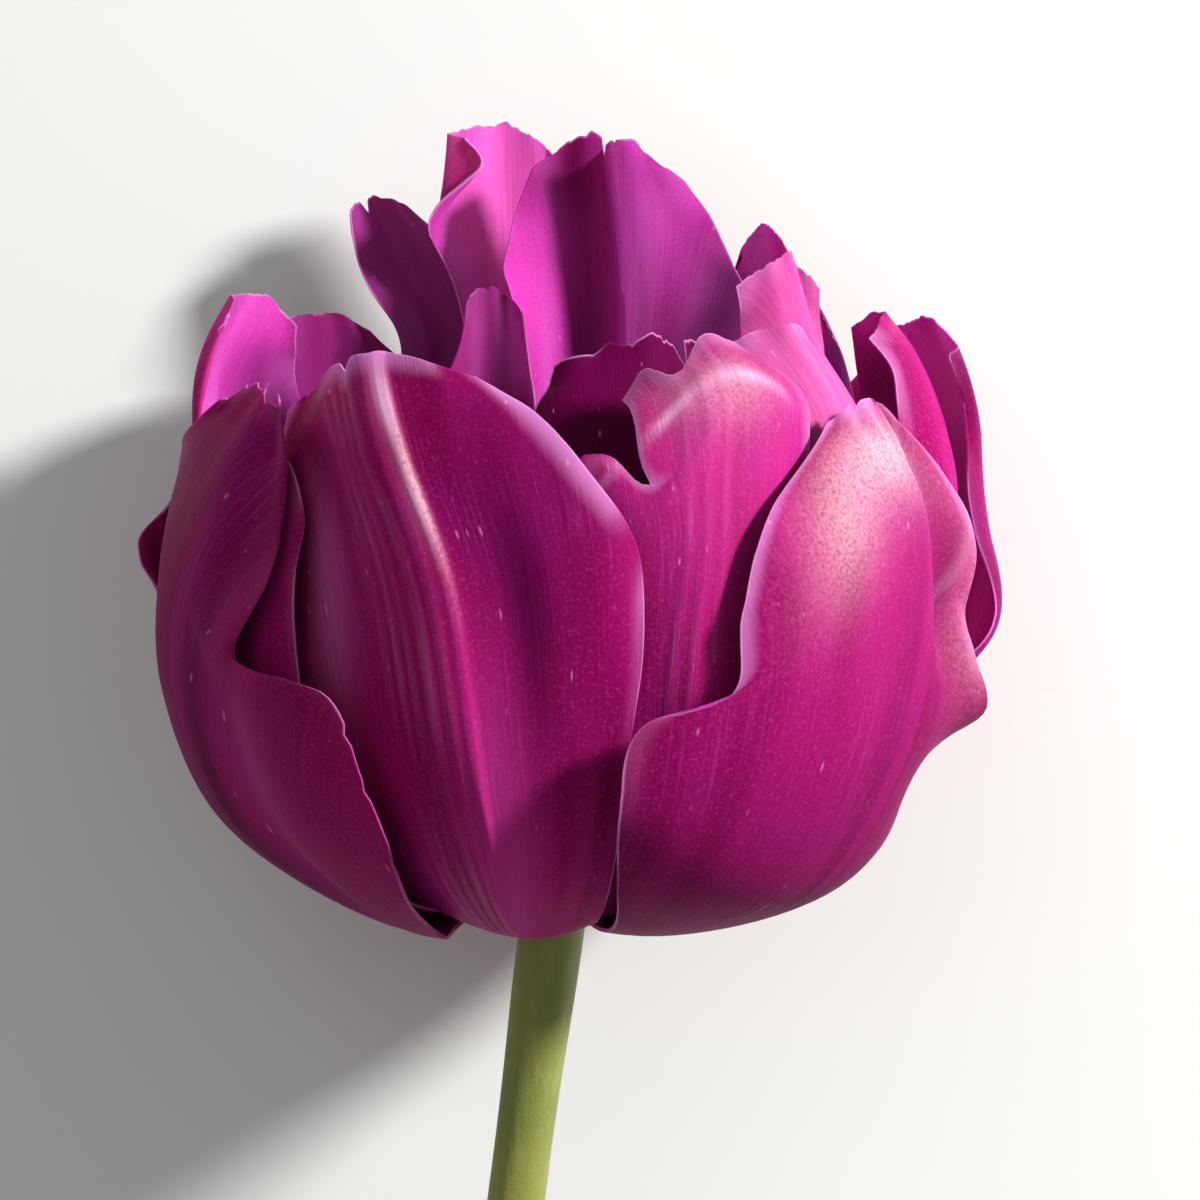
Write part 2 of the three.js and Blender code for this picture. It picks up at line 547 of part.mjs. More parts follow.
// A blade of even thickness round its middle surface, with both faces split alike.
// settle moves a point that would touch the table exactly onto it.
function blade(grid, thickness, settle) {
  const facing = normals(grid);
  const rows = grid.length;
  const columns = grid[0].length;
  const points = [];
  for (const side of [1, -1]) {
    grid.forEach((row, i) => row.forEach((point, j) => {
      points.push(settle(add(point, scale(facing[i][j], side * thickness / 2))));
    }));
  }
  const faces = [];
  const quad = (a, b, c, d) => faces.push(a, b, c, a, c, d);
  const at = (i, j, side) => side * rows * columns + i * columns + j;
  for (let i = 0; i + 1 < rows; i += 1) {
    for (let j = 0; j + 1 < columns; j += 1) {
      quad(at(i, j, 0), at(i + 1, j, 0), at(i + 1, j + 1, 0), at(i, j + 1, 0));
      faces.push(at(i, j, 1), at(i + 1, j + 1, 1), at(i + 1, j, 1));
      faces.push(at(i, j, 1), at(i, j + 1, 1), at(i + 1, j + 1, 1));
    }
  }
  const rim = [];
  for (let j = 0; j + 1 < columns; j += 1) rim.push([0, j]);
  for (let i = 0; i + 1 < rows; i += 1) rim.push([i, columns - 1]);
  for (let j = columns - 1; j > 0; j -= 1) rim.push([rows - 1, j]);
  for (let i = rows - 1; i > 0; i -= 1) rim.push([i, 0]);
  rim.forEach(([i, j], k) => {
    const [nextI, nextJ] = rim[(k + 1) % rim.length];
    quad(at(i, j, 0), at(nextI, nextJ, 0), at(nextI, nextJ, 1), at(i, j, 1));
  });
  return geometryOf(points.flat(), faces);
}

function geometryOf(positions, faces) {
  const geometry = new THREE.BufferGeometry();
  geometry.setAttribute("position", new THREE.Float32BufferAttribute(positions, 3));
  geometry.setIndex(faces);
  return geometry;
}

// Solids are joined and cut here. Points nearer than this are one point.
const SAME_POINT = 1e-4;
const wasm = await Module();
wasm.setup();

function solidOf(geometry) {
  const bare = geometry.clone();
  bare.deleteAttribute("normal");
  bare.deleteAttribute("uv");
  const merged = mergeVertices(bare, SAME_POINT);
  return new wasm.Manifold(new wasm.Mesh({
    numProp: 3,
    vertProperties: new Float32Array(merged.attributes.position.array),
    triVerts: new Uint32Array(merged.index.array),
  }));
}

function geometryFrom(solid) {
  const mesh = solid.getMesh();
  return geometryOf(Array.from(mesh.vertProperties), Array.from(mesh.triVerts));
}

function largest(solid) {
  return solid.decompose().reduce((best, piece) => (piece.volume() > best.volume() ? piece : best));
}

// A round bar along a line of centres, with a radius at each and closed flat ends
function bar(centres, radii, sides, firstNormal, settle = (point) => point) {
  const points = [];
  const faces = [];
  centres.forEach((centre, k) => {
    const ahead = unit(sub(centres[Math.min(centres.length - 1, k + 1)], centres[Math.max(0, k - 1)]));
    const across = unit(cross(ahead, firstNormal));
    const over = cross(across, ahead);
    for (let n = 0; n < sides; n += 1) {
      const angle = 2 * Math.PI * n / sides;
      points.push(settle(add(centre, add(
        scale(across, radii[k] * Math.sin(angle)),
        scale(over, -radii[k] * Math.cos(angle)),
      ))));
    }
  });
  const last = (centres.length - 1) * sides;
  for (let k = 0; k + 1 < centres.length; k += 1) {
    for (let n = 0; n < sides; n += 1) {
      const a = k * sides + n;
      const b = k * sides + (n + 1) % sides;
      faces.push(a, b, b + sides, a, b + sides, a + sides);
    }
  }
  for (let n = 1; n + 1 < sides; n += 1) {
    faces.push(0, n + 1, n, last, last + n, last + n + 1);
  }
  const geometry = geometryOf(points.flat(), faces);
  return solidOf(geometry).volume() > 0 ? geometry : flipped(geometry);
}

function flipped(geometry) {
  const turned = Array.from(geometry.index.array);
  for (let k = 0; k < turned.length; k += 3) {
    [turned[k + 1], turned[k + 2]] = [turned[k + 2], turned[k + 1]];
  }
  geometry.setIndex(turned);
  return geometry;
}

// The stem's middle line in the bloom's frame: share is 0 at the receptacle and 1 at the cut end
const LEVELS = seatLevels();
const RECEPTACLE_TOP = SEAT_BOTTOM + SEAT_STEP * (Math.max(...LEVELS) + 1) - PIECE_GAP;
const cutHeight = RECEPTACLE_HEIGHT - STEM_LENGTH * Math.sin(tilt);
const CUT_DROP = cutHeight - STEM_RADIUS_CUT * Math.cos(tilt);

function stemCentre(share) {
  const aside = STEM_DRIFT * share - STEM_SWAY * Math.sin(Math.PI * share);
  return add([aside, 0, -STEM_LENGTH * share], scale(SKY, -CUT_DROP * share * share));
}

function stemGeometry() {
  const centres = [
    [0, 0, RECEPTACLE_TOP],
    [0, 0, RECEPTACLE_TOP - RECEPTACLE_BEVEL],
    [0, 0, SEAT_BOTTOM - RECEPTACLE_BEVEL],
    stemCentre(STEM_TOP_SHARE),
  ];
  const bevelled = RECEPTACLE_RADIUS - RECEPTACLE_BEVEL;
  const radii = [bevelled, RECEPTACLE_RADIUS, RECEPTACLE_RADIUS, STEM_RADIUS_TOP];
  for (let k = 1; k <= STEM_STEPS; k += 1) {
    const share = k / STEM_STEPS;
    const taper = 1 - ease(share / STEM_NECK_SHARE);
    const swell = ease((share - STEM_SWELL_START) / (1 - STEM_SWELL_START));
    centres.push(stemCentre(share));
    radii.push(STEM_RADIUS_NECK + (STEM_RADIUS_TOP - STEM_RADIUS_NECK) * taper
      + (STEM_RADIUS_CUT - STEM_RADIUS_NECK) * swell);
  }
  return bar(centres, radii, STEM_SIDES, SKY, onTable);
}

// A lobe or stamen of the pistil: lines of [distance out, height, radius] turned round the axis
function spoke(line, turn, sides, firstNormal) {
  const foot = RECEPTACLE_TOP + PIECE_GAP;
  const direction = [Math.sin(turn), -Math.cos(turn), 0];
  const centres = line.map(([out, height]) => add(scale(direction, out), [0, 0, foot + height]));
  return solidOf(bar(centres, line.map(([, , radius]) => radius), sides, firstNormal));
}

// Ovary and stigma in the middle, with stamens round them on a common foot
function pistilGeometry() {
  let solid = spoke(PISTIL_LINE, 0, PISTIL_SIDES, [0, 1, 0]);
  for (let lobe = 0; lobe < STIGMA_LOBES; lobe += 1) {
    solid = solid.add(spoke(LOBE_LINE, 2 * Math.PI * lobe / STIGMA_LOBES, LOBE_SIDES, [0, 0, 1]));
  }
  for (let k = 0; k < STAMENS; k += 1) {
    const turn = 2 * Math.PI * (k + 0.5) / STAMENS;
    solid = solid.add(spoke(STAMEN_LINE, turn, STAMEN_SIDES, [Math.sin(turn), -Math.cos(turn), 0]));
  }
  return geometryFrom(largest(solid));
}

// The frame that the flower lies in, as a group turned and lifted
const bloom = new THREE.Group();
bloom.rotation.x = tilt - Math.PI / 2;
bloom.position.z = RECEPTACLE_HEIGHT;
bloom.updateMatrixWorld(true);

function stemOnTable(share) {
  return new THREE.Vector3(...stemCentre(share)).applyMatrix4(bloom.matrixWorld).toArray();
}

// The middle surface of a leaf that clasps the stem and arches out to lie on the table
function leafGrid({ aboveCut, side, reach, halfWidth, spread, arch }) {
  const start = stemOnTable(1 - aboveCut / STEM_LENGTH);
  const clasp = STEM_RADIUS_CUT + PIECE_GAP + LEAF_THICKNESS / 2 + LEAF_CLASP_ROOM;
  const tipHeight = LEAF_THICKNESS / 2;
  const grid = [];
  let place = add(start, [side * clasp, 0, 0]);
  for (let i = 0; i <= LEAF_ROWS; i += 1) {
    const share = i / LEAF_ROWS;
    const heading = radians(spread) * ease(share / LEAF_TURN);
    const ahead = [side * Math.sin(heading), Math.cos(heading), 0];
    const outward = [side * Math.cos(heading), -Math.sin(heading), 0];
    const turn = Math.PI / 2 * ease(share / LEAF_ROLL_END);
    const open = add(scale(outward, -Math.cos(turn)), [0, 0, Math.sin(turn)]);
    const across = cross(ahead, open);
    const half = halfWidth * along(LEAF_OUTLINE.map((value) => [value]), share)[0];
    const baseAngle = halfWidth * LEAF_OUTLINE[0] / clasp;
    const angle = Math.max(radians(LEAF_CHANNEL), baseAngle * (1 - ease(share / LEAF_UNCLASP_END)));
    const bend = half / angle;
    const height = start[2] + (tipHeight - start[2]) * ease(share) + arch * Math.sin(Math.PI * share);
    const middle = [place[0], place[1], height];
    const row = [];
    for (let j = 0; j <= LEAF_COLUMNS; j += 1) {
      const aside = 2 * j / LEAF_COLUMNS - 1;
      const wave = Math.sin(2 * Math.PI * LEAF_WAVES * share + aside) * ease(share / LEAF_WAVE_START);
      const ripple = LEAF_RIPPLE * Math.abs(aside) ** 3 * wave;
      const point = add(middle, add(
        scale(across, bend * Math.sin(angle * aside)),
        scale(open, bend * (1 - Math.cos(angle * aside)) + ripple),
      ));
      row.push([point[0], point[1], Math.max(point[2], tipHeight)]);
    }
    grid.push(row);
    place = add(place, scale(ahead, reach / LEAF_ROWS));
  }
  return grid;
}

// A petal's neighbours, a gap wider all round, are cut away where they still touch it
function widened(grid) {
  const lastRow = grid.length - 1;
  const lastColumn = grid[0].length - 1;
  const grow = (edge, inner) => add(edge, scale(unit(sub(edge, inner)), PIECE_GAP));
  const wide = grid.map((row) => row.map((point, j) => {
    if (j === 0) return grow(point, row[1]);
    return j === lastColumn ? grow(point, row[lastColumn - 1]) : point;
  }));
  return wide.map((row, i) => row.map((point, j) => (
    i === lastRow ? grow(point, wide[lastRow - 1][j]) : point
  )));
}

function onTable(point) {
  const height = RECEPTACLE_HEIGHT + dot(point, SKY);
  return height < TABLE_REACH ? add(point, scale(SKY, -height)) : point;
}

function named(name, geometry, color, roughness) {
  const shown = geometry.toNonIndexed();
  shown.computeVertexNormals();
  const mesh = new THREE.Mesh(shown, new THREE.MeshStandardMaterial({ color, roughness, metalness: 0 }));
  mesh.name = name;
  return mesh;
}

const flower = new THREE.Group();
flower.add(bloom);
bloom.add(named("stem", stemGeometry(), STEM_COLOR, GREEN_ROUGHNESS));
bloom.add(named("pistil_and_stamens", pistilGeometry(), PISTIL_COLOR, GREEN_ROUGHNESS));

const placed = [];
nest(PETALS.map((petal, k) => petalGrid(petal, LEVELS[k]))).forEach((grid, k) => {
  let solid = solidOf(blade(grid, PETAL_THICKNESS, onTable));
  placed.forEach((neighbour) => {
    solid = solid.subtract(neighbour);
  });
  bloom.add(named(PETALS[k].name, geometryFrom(largest(solid)), PETAL_COLOR, PETAL_ROUGHNESS));
  placed.push(solidOf(blade(widened(grid), PETAL_THICKNESS + 2 * PIECE_GAP, (point) => point)));
});

LEAVES.forEach((leaf) => {
  const geometry = blade(leafGrid(leaf), LEAF_THICKNESS, ([x, y, z]) => [x, y, z < TABLE_REACH ? 0 : z]);
  flower.add(named(leaf.name, geometry, LEAF_COLOR, GREEN_ROUGHNESS));
});

// The origin is under the middle of the whole flower, on the table
flower.updateMatrixWorld(true);
const reach = new THREE.Box3().setFromObject(flower, true);
flower.position.x = -(reach.min.x + reach.max.x) / 2;
flower.position.y = -(reach.min.y + reach.max.y) / 2;

export default flower;
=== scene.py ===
"""A cut double tulip lying on a pale table: a ragged magenta bloom of layered petals, its pistil
and stamens, a round green stem and two stem leaves. Lengths are millimetres until a mesh is made."""

import bpy
import numpy as np
from mathutils import Matrix, Vector


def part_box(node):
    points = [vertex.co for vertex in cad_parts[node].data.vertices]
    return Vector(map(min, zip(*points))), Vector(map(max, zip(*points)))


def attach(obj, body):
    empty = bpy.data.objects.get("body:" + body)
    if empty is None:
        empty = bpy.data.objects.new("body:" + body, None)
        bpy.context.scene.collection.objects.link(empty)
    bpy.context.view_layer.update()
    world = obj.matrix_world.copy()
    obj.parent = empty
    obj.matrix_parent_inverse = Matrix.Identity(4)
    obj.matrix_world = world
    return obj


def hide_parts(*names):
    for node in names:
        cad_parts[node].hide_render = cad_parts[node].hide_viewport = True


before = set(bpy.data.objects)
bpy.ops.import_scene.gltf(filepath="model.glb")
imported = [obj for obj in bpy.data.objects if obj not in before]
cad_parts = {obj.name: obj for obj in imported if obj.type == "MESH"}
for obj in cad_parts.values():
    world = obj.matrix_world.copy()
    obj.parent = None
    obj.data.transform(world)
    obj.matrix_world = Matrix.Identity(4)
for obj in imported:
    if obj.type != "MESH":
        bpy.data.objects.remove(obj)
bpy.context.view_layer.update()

MM = 0.001

# Bloom, as in the construction
PETAL_THICKNESS = 0.85
PETAL_ROWS = 12
PETAL_COLUMNS = 8
HEART = np.array([0.0, 0.0, 45.0])
LAYER_SPACING = 1.4
PIECE_GAP = 0.3
WAVE_START = 0.25
RIGHT_WAVE_LAG = 2
RELIEF_GROWTH = 0.3
FOLD_GROWTH = 0.2
CURL_GROWTH = 0.15
BITE_SPREAD = 0.25
BITE_REACH = 0.2

# Receptacle, where the petals are seated one above another
SEAT_RADIUS = 5.2
SEAT_BOTTOM = 0.6
SEAT_STEP = 1.25
SEAT_HALF_ANGLE = 30
SEAT_SPARE_ANGLE = 2
DEEPEST_DIP = 2.2
RECEPTACLE_RADIUS = SEAT_RADIUS - PETAL_THICKNESS / 2 - PIECE_GAP

# How the flower lies
TILT = np.radians(9.5)
RECEPTACLE_HEIGHT = 37.6
SKY = np.array([0.0, -np.cos(TILT), np.sin(TILT)])

# Stem
STEM_LENGTH = 220
STEM_RADIUS_TOP = 3.7
STEM_RADIUS_NECK = 3.2
STEM_RADIUS_CUT = 3.6
STEM_DRIFT = -18
STEM_SWAY = 3.6

# Leaves
LEAF_THICKNESS = 1.1
LEAF_ROWS = 14
LEAF_COLUMNS = 6
LEAF_CLASP_ROOM = 0.15
LEAF_CHANNEL = 24
LEAF_TURN = 0.32
LEAF_ROLL_END = 0.45
LEAF_UNCLASP_END = 0.35
LEAF_RIPPLE = 1.2
LEAF_WAVES = 3
LEAF_WAVE_START = 0.3
LEAF_OUTLINE = [0.55, 0.85, 1, 0.94, 0.76, 0.46, 0.08]
LEAVES = [
    dict(name="leaf_lower", above_cut=20, side=-1, reach=158, half_width=20, spread=36, arch=9),
    dict(name="leaf_upper", above_cut=84, side=1, reach=98, half_width=12.5, spread=42, arch=6),
]

# Every petal, from the outermost in, as in the construction: its seat's azimuth, then its left margin,
# rib and right margin, each a list of (azimuth, radius, height) round the bloom's axis.
# - wave of the margins: (depth, number of waves, phase)
# - creases: (place across, width, rise, start along)
# - dents: (place along, place across, length, width, depth)
# - folds: (side, place across, width, depth, start along)
# - curls: (side, place across where it begins, turn, depth, start along, end along)
# - bites: (side, place along, half length, how far in, how far down)
# The rest is the look alone.
# - frill: the height of its frill, ragged: how deep the margin's nicks are, inset: how far in it is set
# - how much painted sheen the margin of its outer face has, and how dark it is all over: painted shade,
#   partly a deeper pigment
# - dense: (place, width, extra), where its columns are closer together
# - ridges: (place across, slope, width, height, start along, strength of the painted highlight on the
#   crest)
# - bends across it: (place along, sag, end, width, height, strength of the painted highlight on the bend)
# - spots of painted light: (along, across, length, width, strength, strength of the painted highlight)
# - spots of painted shade and of painted glints: (along, across, length, width, strength)
# - notches in its tip: (across, width, depth)
MIDRIB_CREASE = (0, 0.25, 0.5, 0.3)
COMMON_WAVE = (0.8, 2.5, 0.1)


def row(name, seat, left, rib, right, **features):
    """A petal's values, with the wave, midrib, frill and nicks that most petals share."""
    shared = dict(wave=COMMON_WAVE, creases=[MIDRIB_CREASE], frill=0.45, ragged=0.006)
    return {"name": name, "seat": seat, "left": left, "rib": rib, "right": right, **shared, **features}


PETALS = [
    row("petal_outer_left_back", -165,
        [(-172, 20, -0.5), (-178, 36, 9), (-176, 45, 24), (-166, 46, 38), (-146, 44, 49)],
        [(-142, 18, -1.6), (-138, 37, 8), (-136, 46, 24), (-132, 47, 38), (-124, 45, 50)],
        [(-114, 20, -0.5), (-108, 35, 9), (-104, 43.5, 23), (-100, 45, 34), (-98, 46.4, 40.5),
         (-106, 45, 44.8)]),
    row("petal_outer_right", 45,
        [(16, 21, -0.4), (11, 35, 6), (9, 44, 14), (11, 46.5, 23.5), (24, 46, 27), (25.5, 45.3, 35),
         (31.5, 43, 45.5), (47, 39.5, 54)],
        [(46, 18, -2.8), (48, 36, 4), (52, 44, 17), (56, 46, 31), (60, 45, 43), (60, 42, 50.5),
         (59, 39, 56.5)],
        [(75, 20, -1), (86, 32, 5), (86, 36, 12), (80, 38, 16), (76, 48, 22), (74, 47, 28),
         (73, 45.5, 33), (73, 47, 40), (71, 44, 49), (65, 40, 55)],
        wave=(0.3, 2.5, 0.1), creases=[(0.42, 0.16, -1.1, 0.45)], dents=[(0.6, 0.62, 0.09, 0.2, 3)],
        frill=0.35, ragged=0.005, frost=0.45, shade=0.12, dense=[(0.1, 0.3, 1.0)],
        glows=[(0.7, 0.1, 0.2, 1.0, 0.1, 0.0)],
        shades=[(0.1, 0.0, 0.4, 2.0, 0.5), (0.62, 0.42, 0.14, 0.05, 0.35)],
        ridges=[(0.3, 0.2, 0.03, 0.5, 0.5, 0.15), (-0.12, 0.0, 0.02, 0.3, 0.72, 0.2),
                (-0.04, 0.0, 0.02, 0.35, 0.72, 0.25), (0.04, 0.0, 0.02, 0.3, 0.72, 0.2),
                (0.12, 0.0, 0.02, 0.3, 0.72, 0.2)],
        sparks=[(0.86, -0.12, 0.085, 0.34, 0.55), (0.76, -0.5, 0.1, 0.2, 0.35),
                (0.75, 0.75, 0.16, 0.2, 0.5)],
        notches=[(-0.35, 0.06, 0.02), (0.1, 0.05, 0.02)]),
    row("petal_outer_left", -100,
        [(-108, 18, -1), (-122, 35, 10), (-128, 41, 26), (-118, 41.5, 40), (-90, 40.8, 50),
         (-68, 39, 55.5)],
        [(-80, 18, -1.8), (-82, 35.5, 9), (-80, 43, 24), (-76, 43.3, 38), (-66, 40.5, 50),
         (-54, 37, 58.7)],
        [(-34, 20.5, -2.2), (-27, 33, 4), (-23, 45, 16), (-27.5, 47.8, 26.5), (-47.5, 44.8, 29.5),
         (-43.5, 43, 37.5), (-43, 41, 48), (-51, 37.5, 57.5)],
        wave=(0.2, 2.5, 0.1), creases=[(0.72, 0.16, -1, 0.45)], frill=0.3, ragged=0.025, shade=0.3,
        notches=[(0.55, 0.25, 0.02)],
        dents=[(0.36, 0.5, 0.2, 0.12, 2), (0.4, 0.85, 0.14, 0.3, -1.4)],
        shades=[(0.4, 0.45, 0.14, 0.08, 0.5), (0.3, 0.0, 0.1, 0.6, 0.3)],
        glows=[(0.4, 0.8, 0.12, 0.25, 0.4, 0.0), (0.17, 0.2, 0.06, 0.4, 0.3, 0.0),
               (0.6, -0.5, 0.3, 0.3, 0.15, 0.0)]),
    row("petal_outer_right_back", 112,
        [(88, 20, -0.5), (95, 34, 10), (101, 43, 21), (99, 51.5, 29), (102, 50, 40), (103, 50.5, 50),
         (109, 48.5, 60)],
        [(112, 17, -1.6), (113, 36, 8), (114, 47, 24), (114, 51, 40), (114, 50, 54), (117, 47.5, 64.5)],
        [(136, 20, -0.5), (146, 37, 10), (150, 44, 25), (146, 46, 42), (135, 46, 55), (123, 46.5, 62.5)],
        wave=(0.9, 3, 0.3), curls=[(-1, 0.84, 1.4, 1.4, 0.35, 2)], frill=0.3, ragged=0.008, inset=0.7),
    row("petal_outer_back", 178,
        [(146, 19, 0), (132, 36, 9), (126, 43, 25), (130, 43, 42), (152, 40, 53)],
        [(172, 17, -1.2), (172, 36, 7), (172, 44.5, 24), (172, 44, 42), (172, 38, 58)],
        [(202, 19, 0), (216, 35, 9), (222, 42, 25), (216, 43, 42), (192, 40, 53)]),
    row("petal_under_left", -82,
        [(-86, 19, 0), (-100, 33, 9), (-104, 39, 24), (-90, 38, 42), (-70, 38, 50)],
        [(-66, 17, -0.5), (-64, 33, 8), (-60, 40.5, 24), (-57, 41.5, 40), (-56, 39, 52)],
        [(-46, 19, 0.2), (-43, 32, 8), (-42, 40, 22), (-40.5, 42, 38), (-42, 41.5, 46), (-48, 39.5, 51)]),
    row("petal_outer_front", -18,
        [(-58, 20, -1.4), (-59, 31.5, 6.6), (-55, 38, 22), (-56, 38.5, 36), (-59, 37, 47.5),
         (-55, 37, 55.5)],
        [(-12, 17, -1.8), (-10, 34, 6), (-11, 44, 20), (-14, 46.5, 38), (-21, 44.5, 51), (-28, 40, 61.8)],
        [(12, 22, -1.2), (11, 34, 7), (11, 41, 19), (13, 43, 33), (12, 42.5, 42.5), (5, 41.5, 50),
         (-3, 40.5, 56), (-13, 40, 60)],
        wave=(0.4, 2.5, 0.1), creases=[(-0.07, 0.12, 1.3, 0.25)], frill=0.35, ragged=0.004, frost=0.6,
        inset=0.5, shade=0.12, dense=[(-0.12, 0.2, 3.0)], sparks=[(0.8, 0.04, 0.1, 0.025, 0.6)],
        dents=[(0.62, -0.55, 0.3, 0.28, 2.6), (0.6, 0.3, 0.16, 0.2, 1.3)],
        shades=[(0.8, 0.6, 0.3, 0.5, 0.5), (0.62, 0.42, 0.12, 0.16, 0.35)],
        ridges=[(-0.2, 0.1, 0.014, 0.22, 0.1, 0.05), (-0.155, 0.08, 0.012, 0.25, 0.1, 0.1),
                (-0.115, 0.06, 0.012, 0.22, 0.1, 0.06), (-0.07, 0.03, 0.013, 0.3, 0.1, 0.12),
                (-0.03, 0.0, 0.013, 0.2, 0.1, 0.04), (0.02, 0.0, 0.024, 0.42, 0.1, 0.0),
                (0.015, 0.0, 0.03, 0.0, 0.66, 0.9)],
        glows=[(0.35, 0.15, 0.2, 0.2, 0.4, 0.0), (0.65, -0.55, 0.16, 0.12, 0.25, 0.12)],
        notches=[(-0.2, 0.05, 0.02), (-0.6, 0.2, 0.015), (1.0, 0.4, 0.02)]),
    row("petal_second_left_back", -158,
        [(-184, 18, 2), (-192, 33, 11), (-192, 40, 26), (-182, 41, 42), (-166, 42, 54), (-151, 43, 60.5)],
        [(-156, 16, 1), (-154, 34, 10), (-150, 42, 25), (-146, 43, 42), (-142, 43, 56), (-142, 43.5, 65)],
        [(-128, 18, 2), (-118, 33, 11), (-112, 40, 26), (-114, 42, 42), (-122, 43, 56),
         (-132, 43.5, 63.5)],
        frill=0.7, ragged=0.008, shade=0.75),
    row("petal_second_left", -108,
        [(-134, 19, 0.8), (-142, 34, 11), (-143, 40, 27), (-138, 41, 44), (-133, 41, 57),
         (-131, 40.5, 63.5)],
        [(-112, 16, -0.4), (-112, 34, 9), (-112, 42, 26), (-110, 43, 44), (-115, 42.5, 58),
         (-124, 41.5, 67.5)],
        [(-88, 19, 0.8), (-84, 35, 10), (-84, 40, 26), (-86, 42.5, 40), (-98, 43.5, 51),
         (-115, 42.5, 63.5)],
        creases=[(0.35, 0.13, 1.6, 0.5)], shades=[(0.78, -0.5, 0.14, 0.5, 0.8)],
        glows=[(0.95, 0.2, 0.1, 0.5, 0.3, 0.0)]),
    row("petal_second_front_right", 28,
        [(4, 26, 5), (4, 36, 18), (6, 38.5, 33), (3, 37.5, 47.5), (9, 35.5, 53.5), (18, 28, 59.5)],
        [(28, 16, 0), (26, 34, 9), (25, 41, 21), (26, 42, 32), (28, 41.3, 42.5), (29, 40.2, 50.5),
         (30.5, 38, 58), (31, 31, 63.2)],
        [(52, 19, 1), (54, 33, 10), (52, 40, 24), (44, 41, 36), (43, 40, 46), (45, 38, 53),
         (46, 36, 57.5), (42, 31.5, 61)],
        wave=(0.3, 2.5, 0.6), bites=[(-1, 0.8333, 0.0833, 0.46, 0.13)], frill=0.15, frost=0.35,
        dense=[(-0.5, 0.4, 1.0)], glows=[(0.75, 0.0, 0.2, 1.0, 0.2, 0.0)],
        bends=[(0.9, 0.24, 0.6, 0.02, 0.15, 0.5)], sparks=[(0.88, -0.1, 0.07, 0.45, 0.25)],
        ridges=[(-0.3, 0.2, 0.02, 0.15, 0.3, 0.06), (-0.2, 0.15, 0.02, 0.15, 0.3, 0.06),
                (-0.1, 0.1, 0.02, 0.12, 0.3, 0.06)]),
    row("petal_second_right", 88,
        [(66, 18, 2), (66, 31, 11), (70, 38, 25), (82, 39, 40), (90, 38, 50), (93, 36.5, 57),
         (95, 35.5, 62.5)],
        [(92, 16, 1), (92, 33, 10), (94, 41, 25), (97, 44, 42), (102, 43.5, 52), (106, 41, 60),
         (108, 37.5, 65)],
        [(116, 18, 2), (122, 32, 11), (124, 41, 26), (122, 43, 42), (119, 40.5, 52), (116, 38, 63.5)],
        frill=0.6, frost=0.35),
    row("petal_second_back", 146,
        [(124, 19, 1), (116, 34, 10), (114, 40, 26), (118, 41, 43), (130, 40, 54)],
        [(148, 16, -0.2), (148, 34, 9), (148, 41, 26), (148, 42, 43), (148, 38, 57)],
        [(174, 19, 1), (182, 33, 10), (184, 40, 26), (180, 41, 43), (166, 39, 54)]),
    row("petal_second_front", -30,
        [(-52, 18, 2), (-60, 31, 11), (-62, 36, 26), (-58, 35, 42), (-44, 35, 52)],
        [(-28, 16, 1), (-30, 33, 10), (-31, 39, 25), (-32, 39, 42), (-32, 35, 56)],
        [(-4, 18, 2), (0, 32, 11), (0, 38, 26), (-6, 38, 42), (-18, 36, 52)],
        shade=0.3),
    row("petal_third_right", 54,
        [(32, 17, 3), (30, 30, 12), (31, 35, 26), (33, 34, 42), (39, 30, 55), (45, 27, 62.5)],
        [(54, 15, 2.2), (54, 32, 11), (54, 38, 26), (56, 38, 42), (57, 35, 54), (55, 29.5, 64.5)],
        [(78, 17, 3), (82, 30, 12), (82, 36, 26), (78, 37, 42), (73, 35, 54), (64, 31, 62.5)],
        frill=0.4, frost=0.4, glows=[(0.9, 0.0, 0.2, 1.0, 0.4, 0.15)]),
    row("petal_third_left", -88,
        [(-112, 17, 3), (-118, 30, 12), (-118, 35, 26), (-112, 35, 42), (-98, 33, 52)],
        [(-86, 15, 2.2), (-86, 31, 11), (-86, 37, 26), (-84, 37, 42), (-82, 32, 54)],
        [(-60, 17, 3), (-52, 30, 12), (-52, 36, 26), (-56, 35, 42), (-68, 33, 52)]),
    row("petal_back_low_left", -140,
        [(-164, 17, 3), (-172, 29, 13), (-172, 34, 28), (-172, 35.5, 46), (-169, 37, 60), (-165, 42, 70),
         (-158, 46, 76.5)],
        [(-140, 15, 2.2), (-142, 30, 12), (-146, 35, 28), (-152, 36.5, 46), (-160, 37.5, 60),
         (-156, 42.5, 70), (-153, 47, 78)],
        [(-114, 17, 3), (-118, 29, 13), (-128, 34, 28), (-142, 36, 46), (-151, 38, 60), (-148, 43, 69),
         (-147, 46.5, 76.5)],
        wave=(1, 3, 0.4), frill=0.7, shade=0.72, notches=[(0.35, 0.08, 0.025)]),
    row("petal_back_tall_left", 190,
        [(164, 17, 3), (156, 29, 13), (156, 34, 28), (164, 34, 48), (172, 34, 66), (180, 36.5, 82.5)],
        [(188, 15, 2.2), (186, 30, 12), (187, 36, 28), (188, 36, 48), (190, 36, 68), (191, 38, 87)],
        [(212, 17, 3), (214, 29, 13), (210, 34, 28), (201, 33, 48), (200, 32.5, 64), (207, 36.5, 77),
         (203, 38, 84.5)],
        curls=[(1, 0.7, 10, 3, 0.8, 1.08)], frill=0.4, shades=[(0.5, 0.3, 0.2, 1.0, 0.4)],
        glows=[(0.95, 0.0, 0.15, 0.6, 0.6, 0.1)]),
    row("petal_third_right_back", 128,
        [(104, 16, 4), (96, 28, 13), (92, 33, 28), (92, 34, 44), (100, 33, 57), (124, 32, 70)],
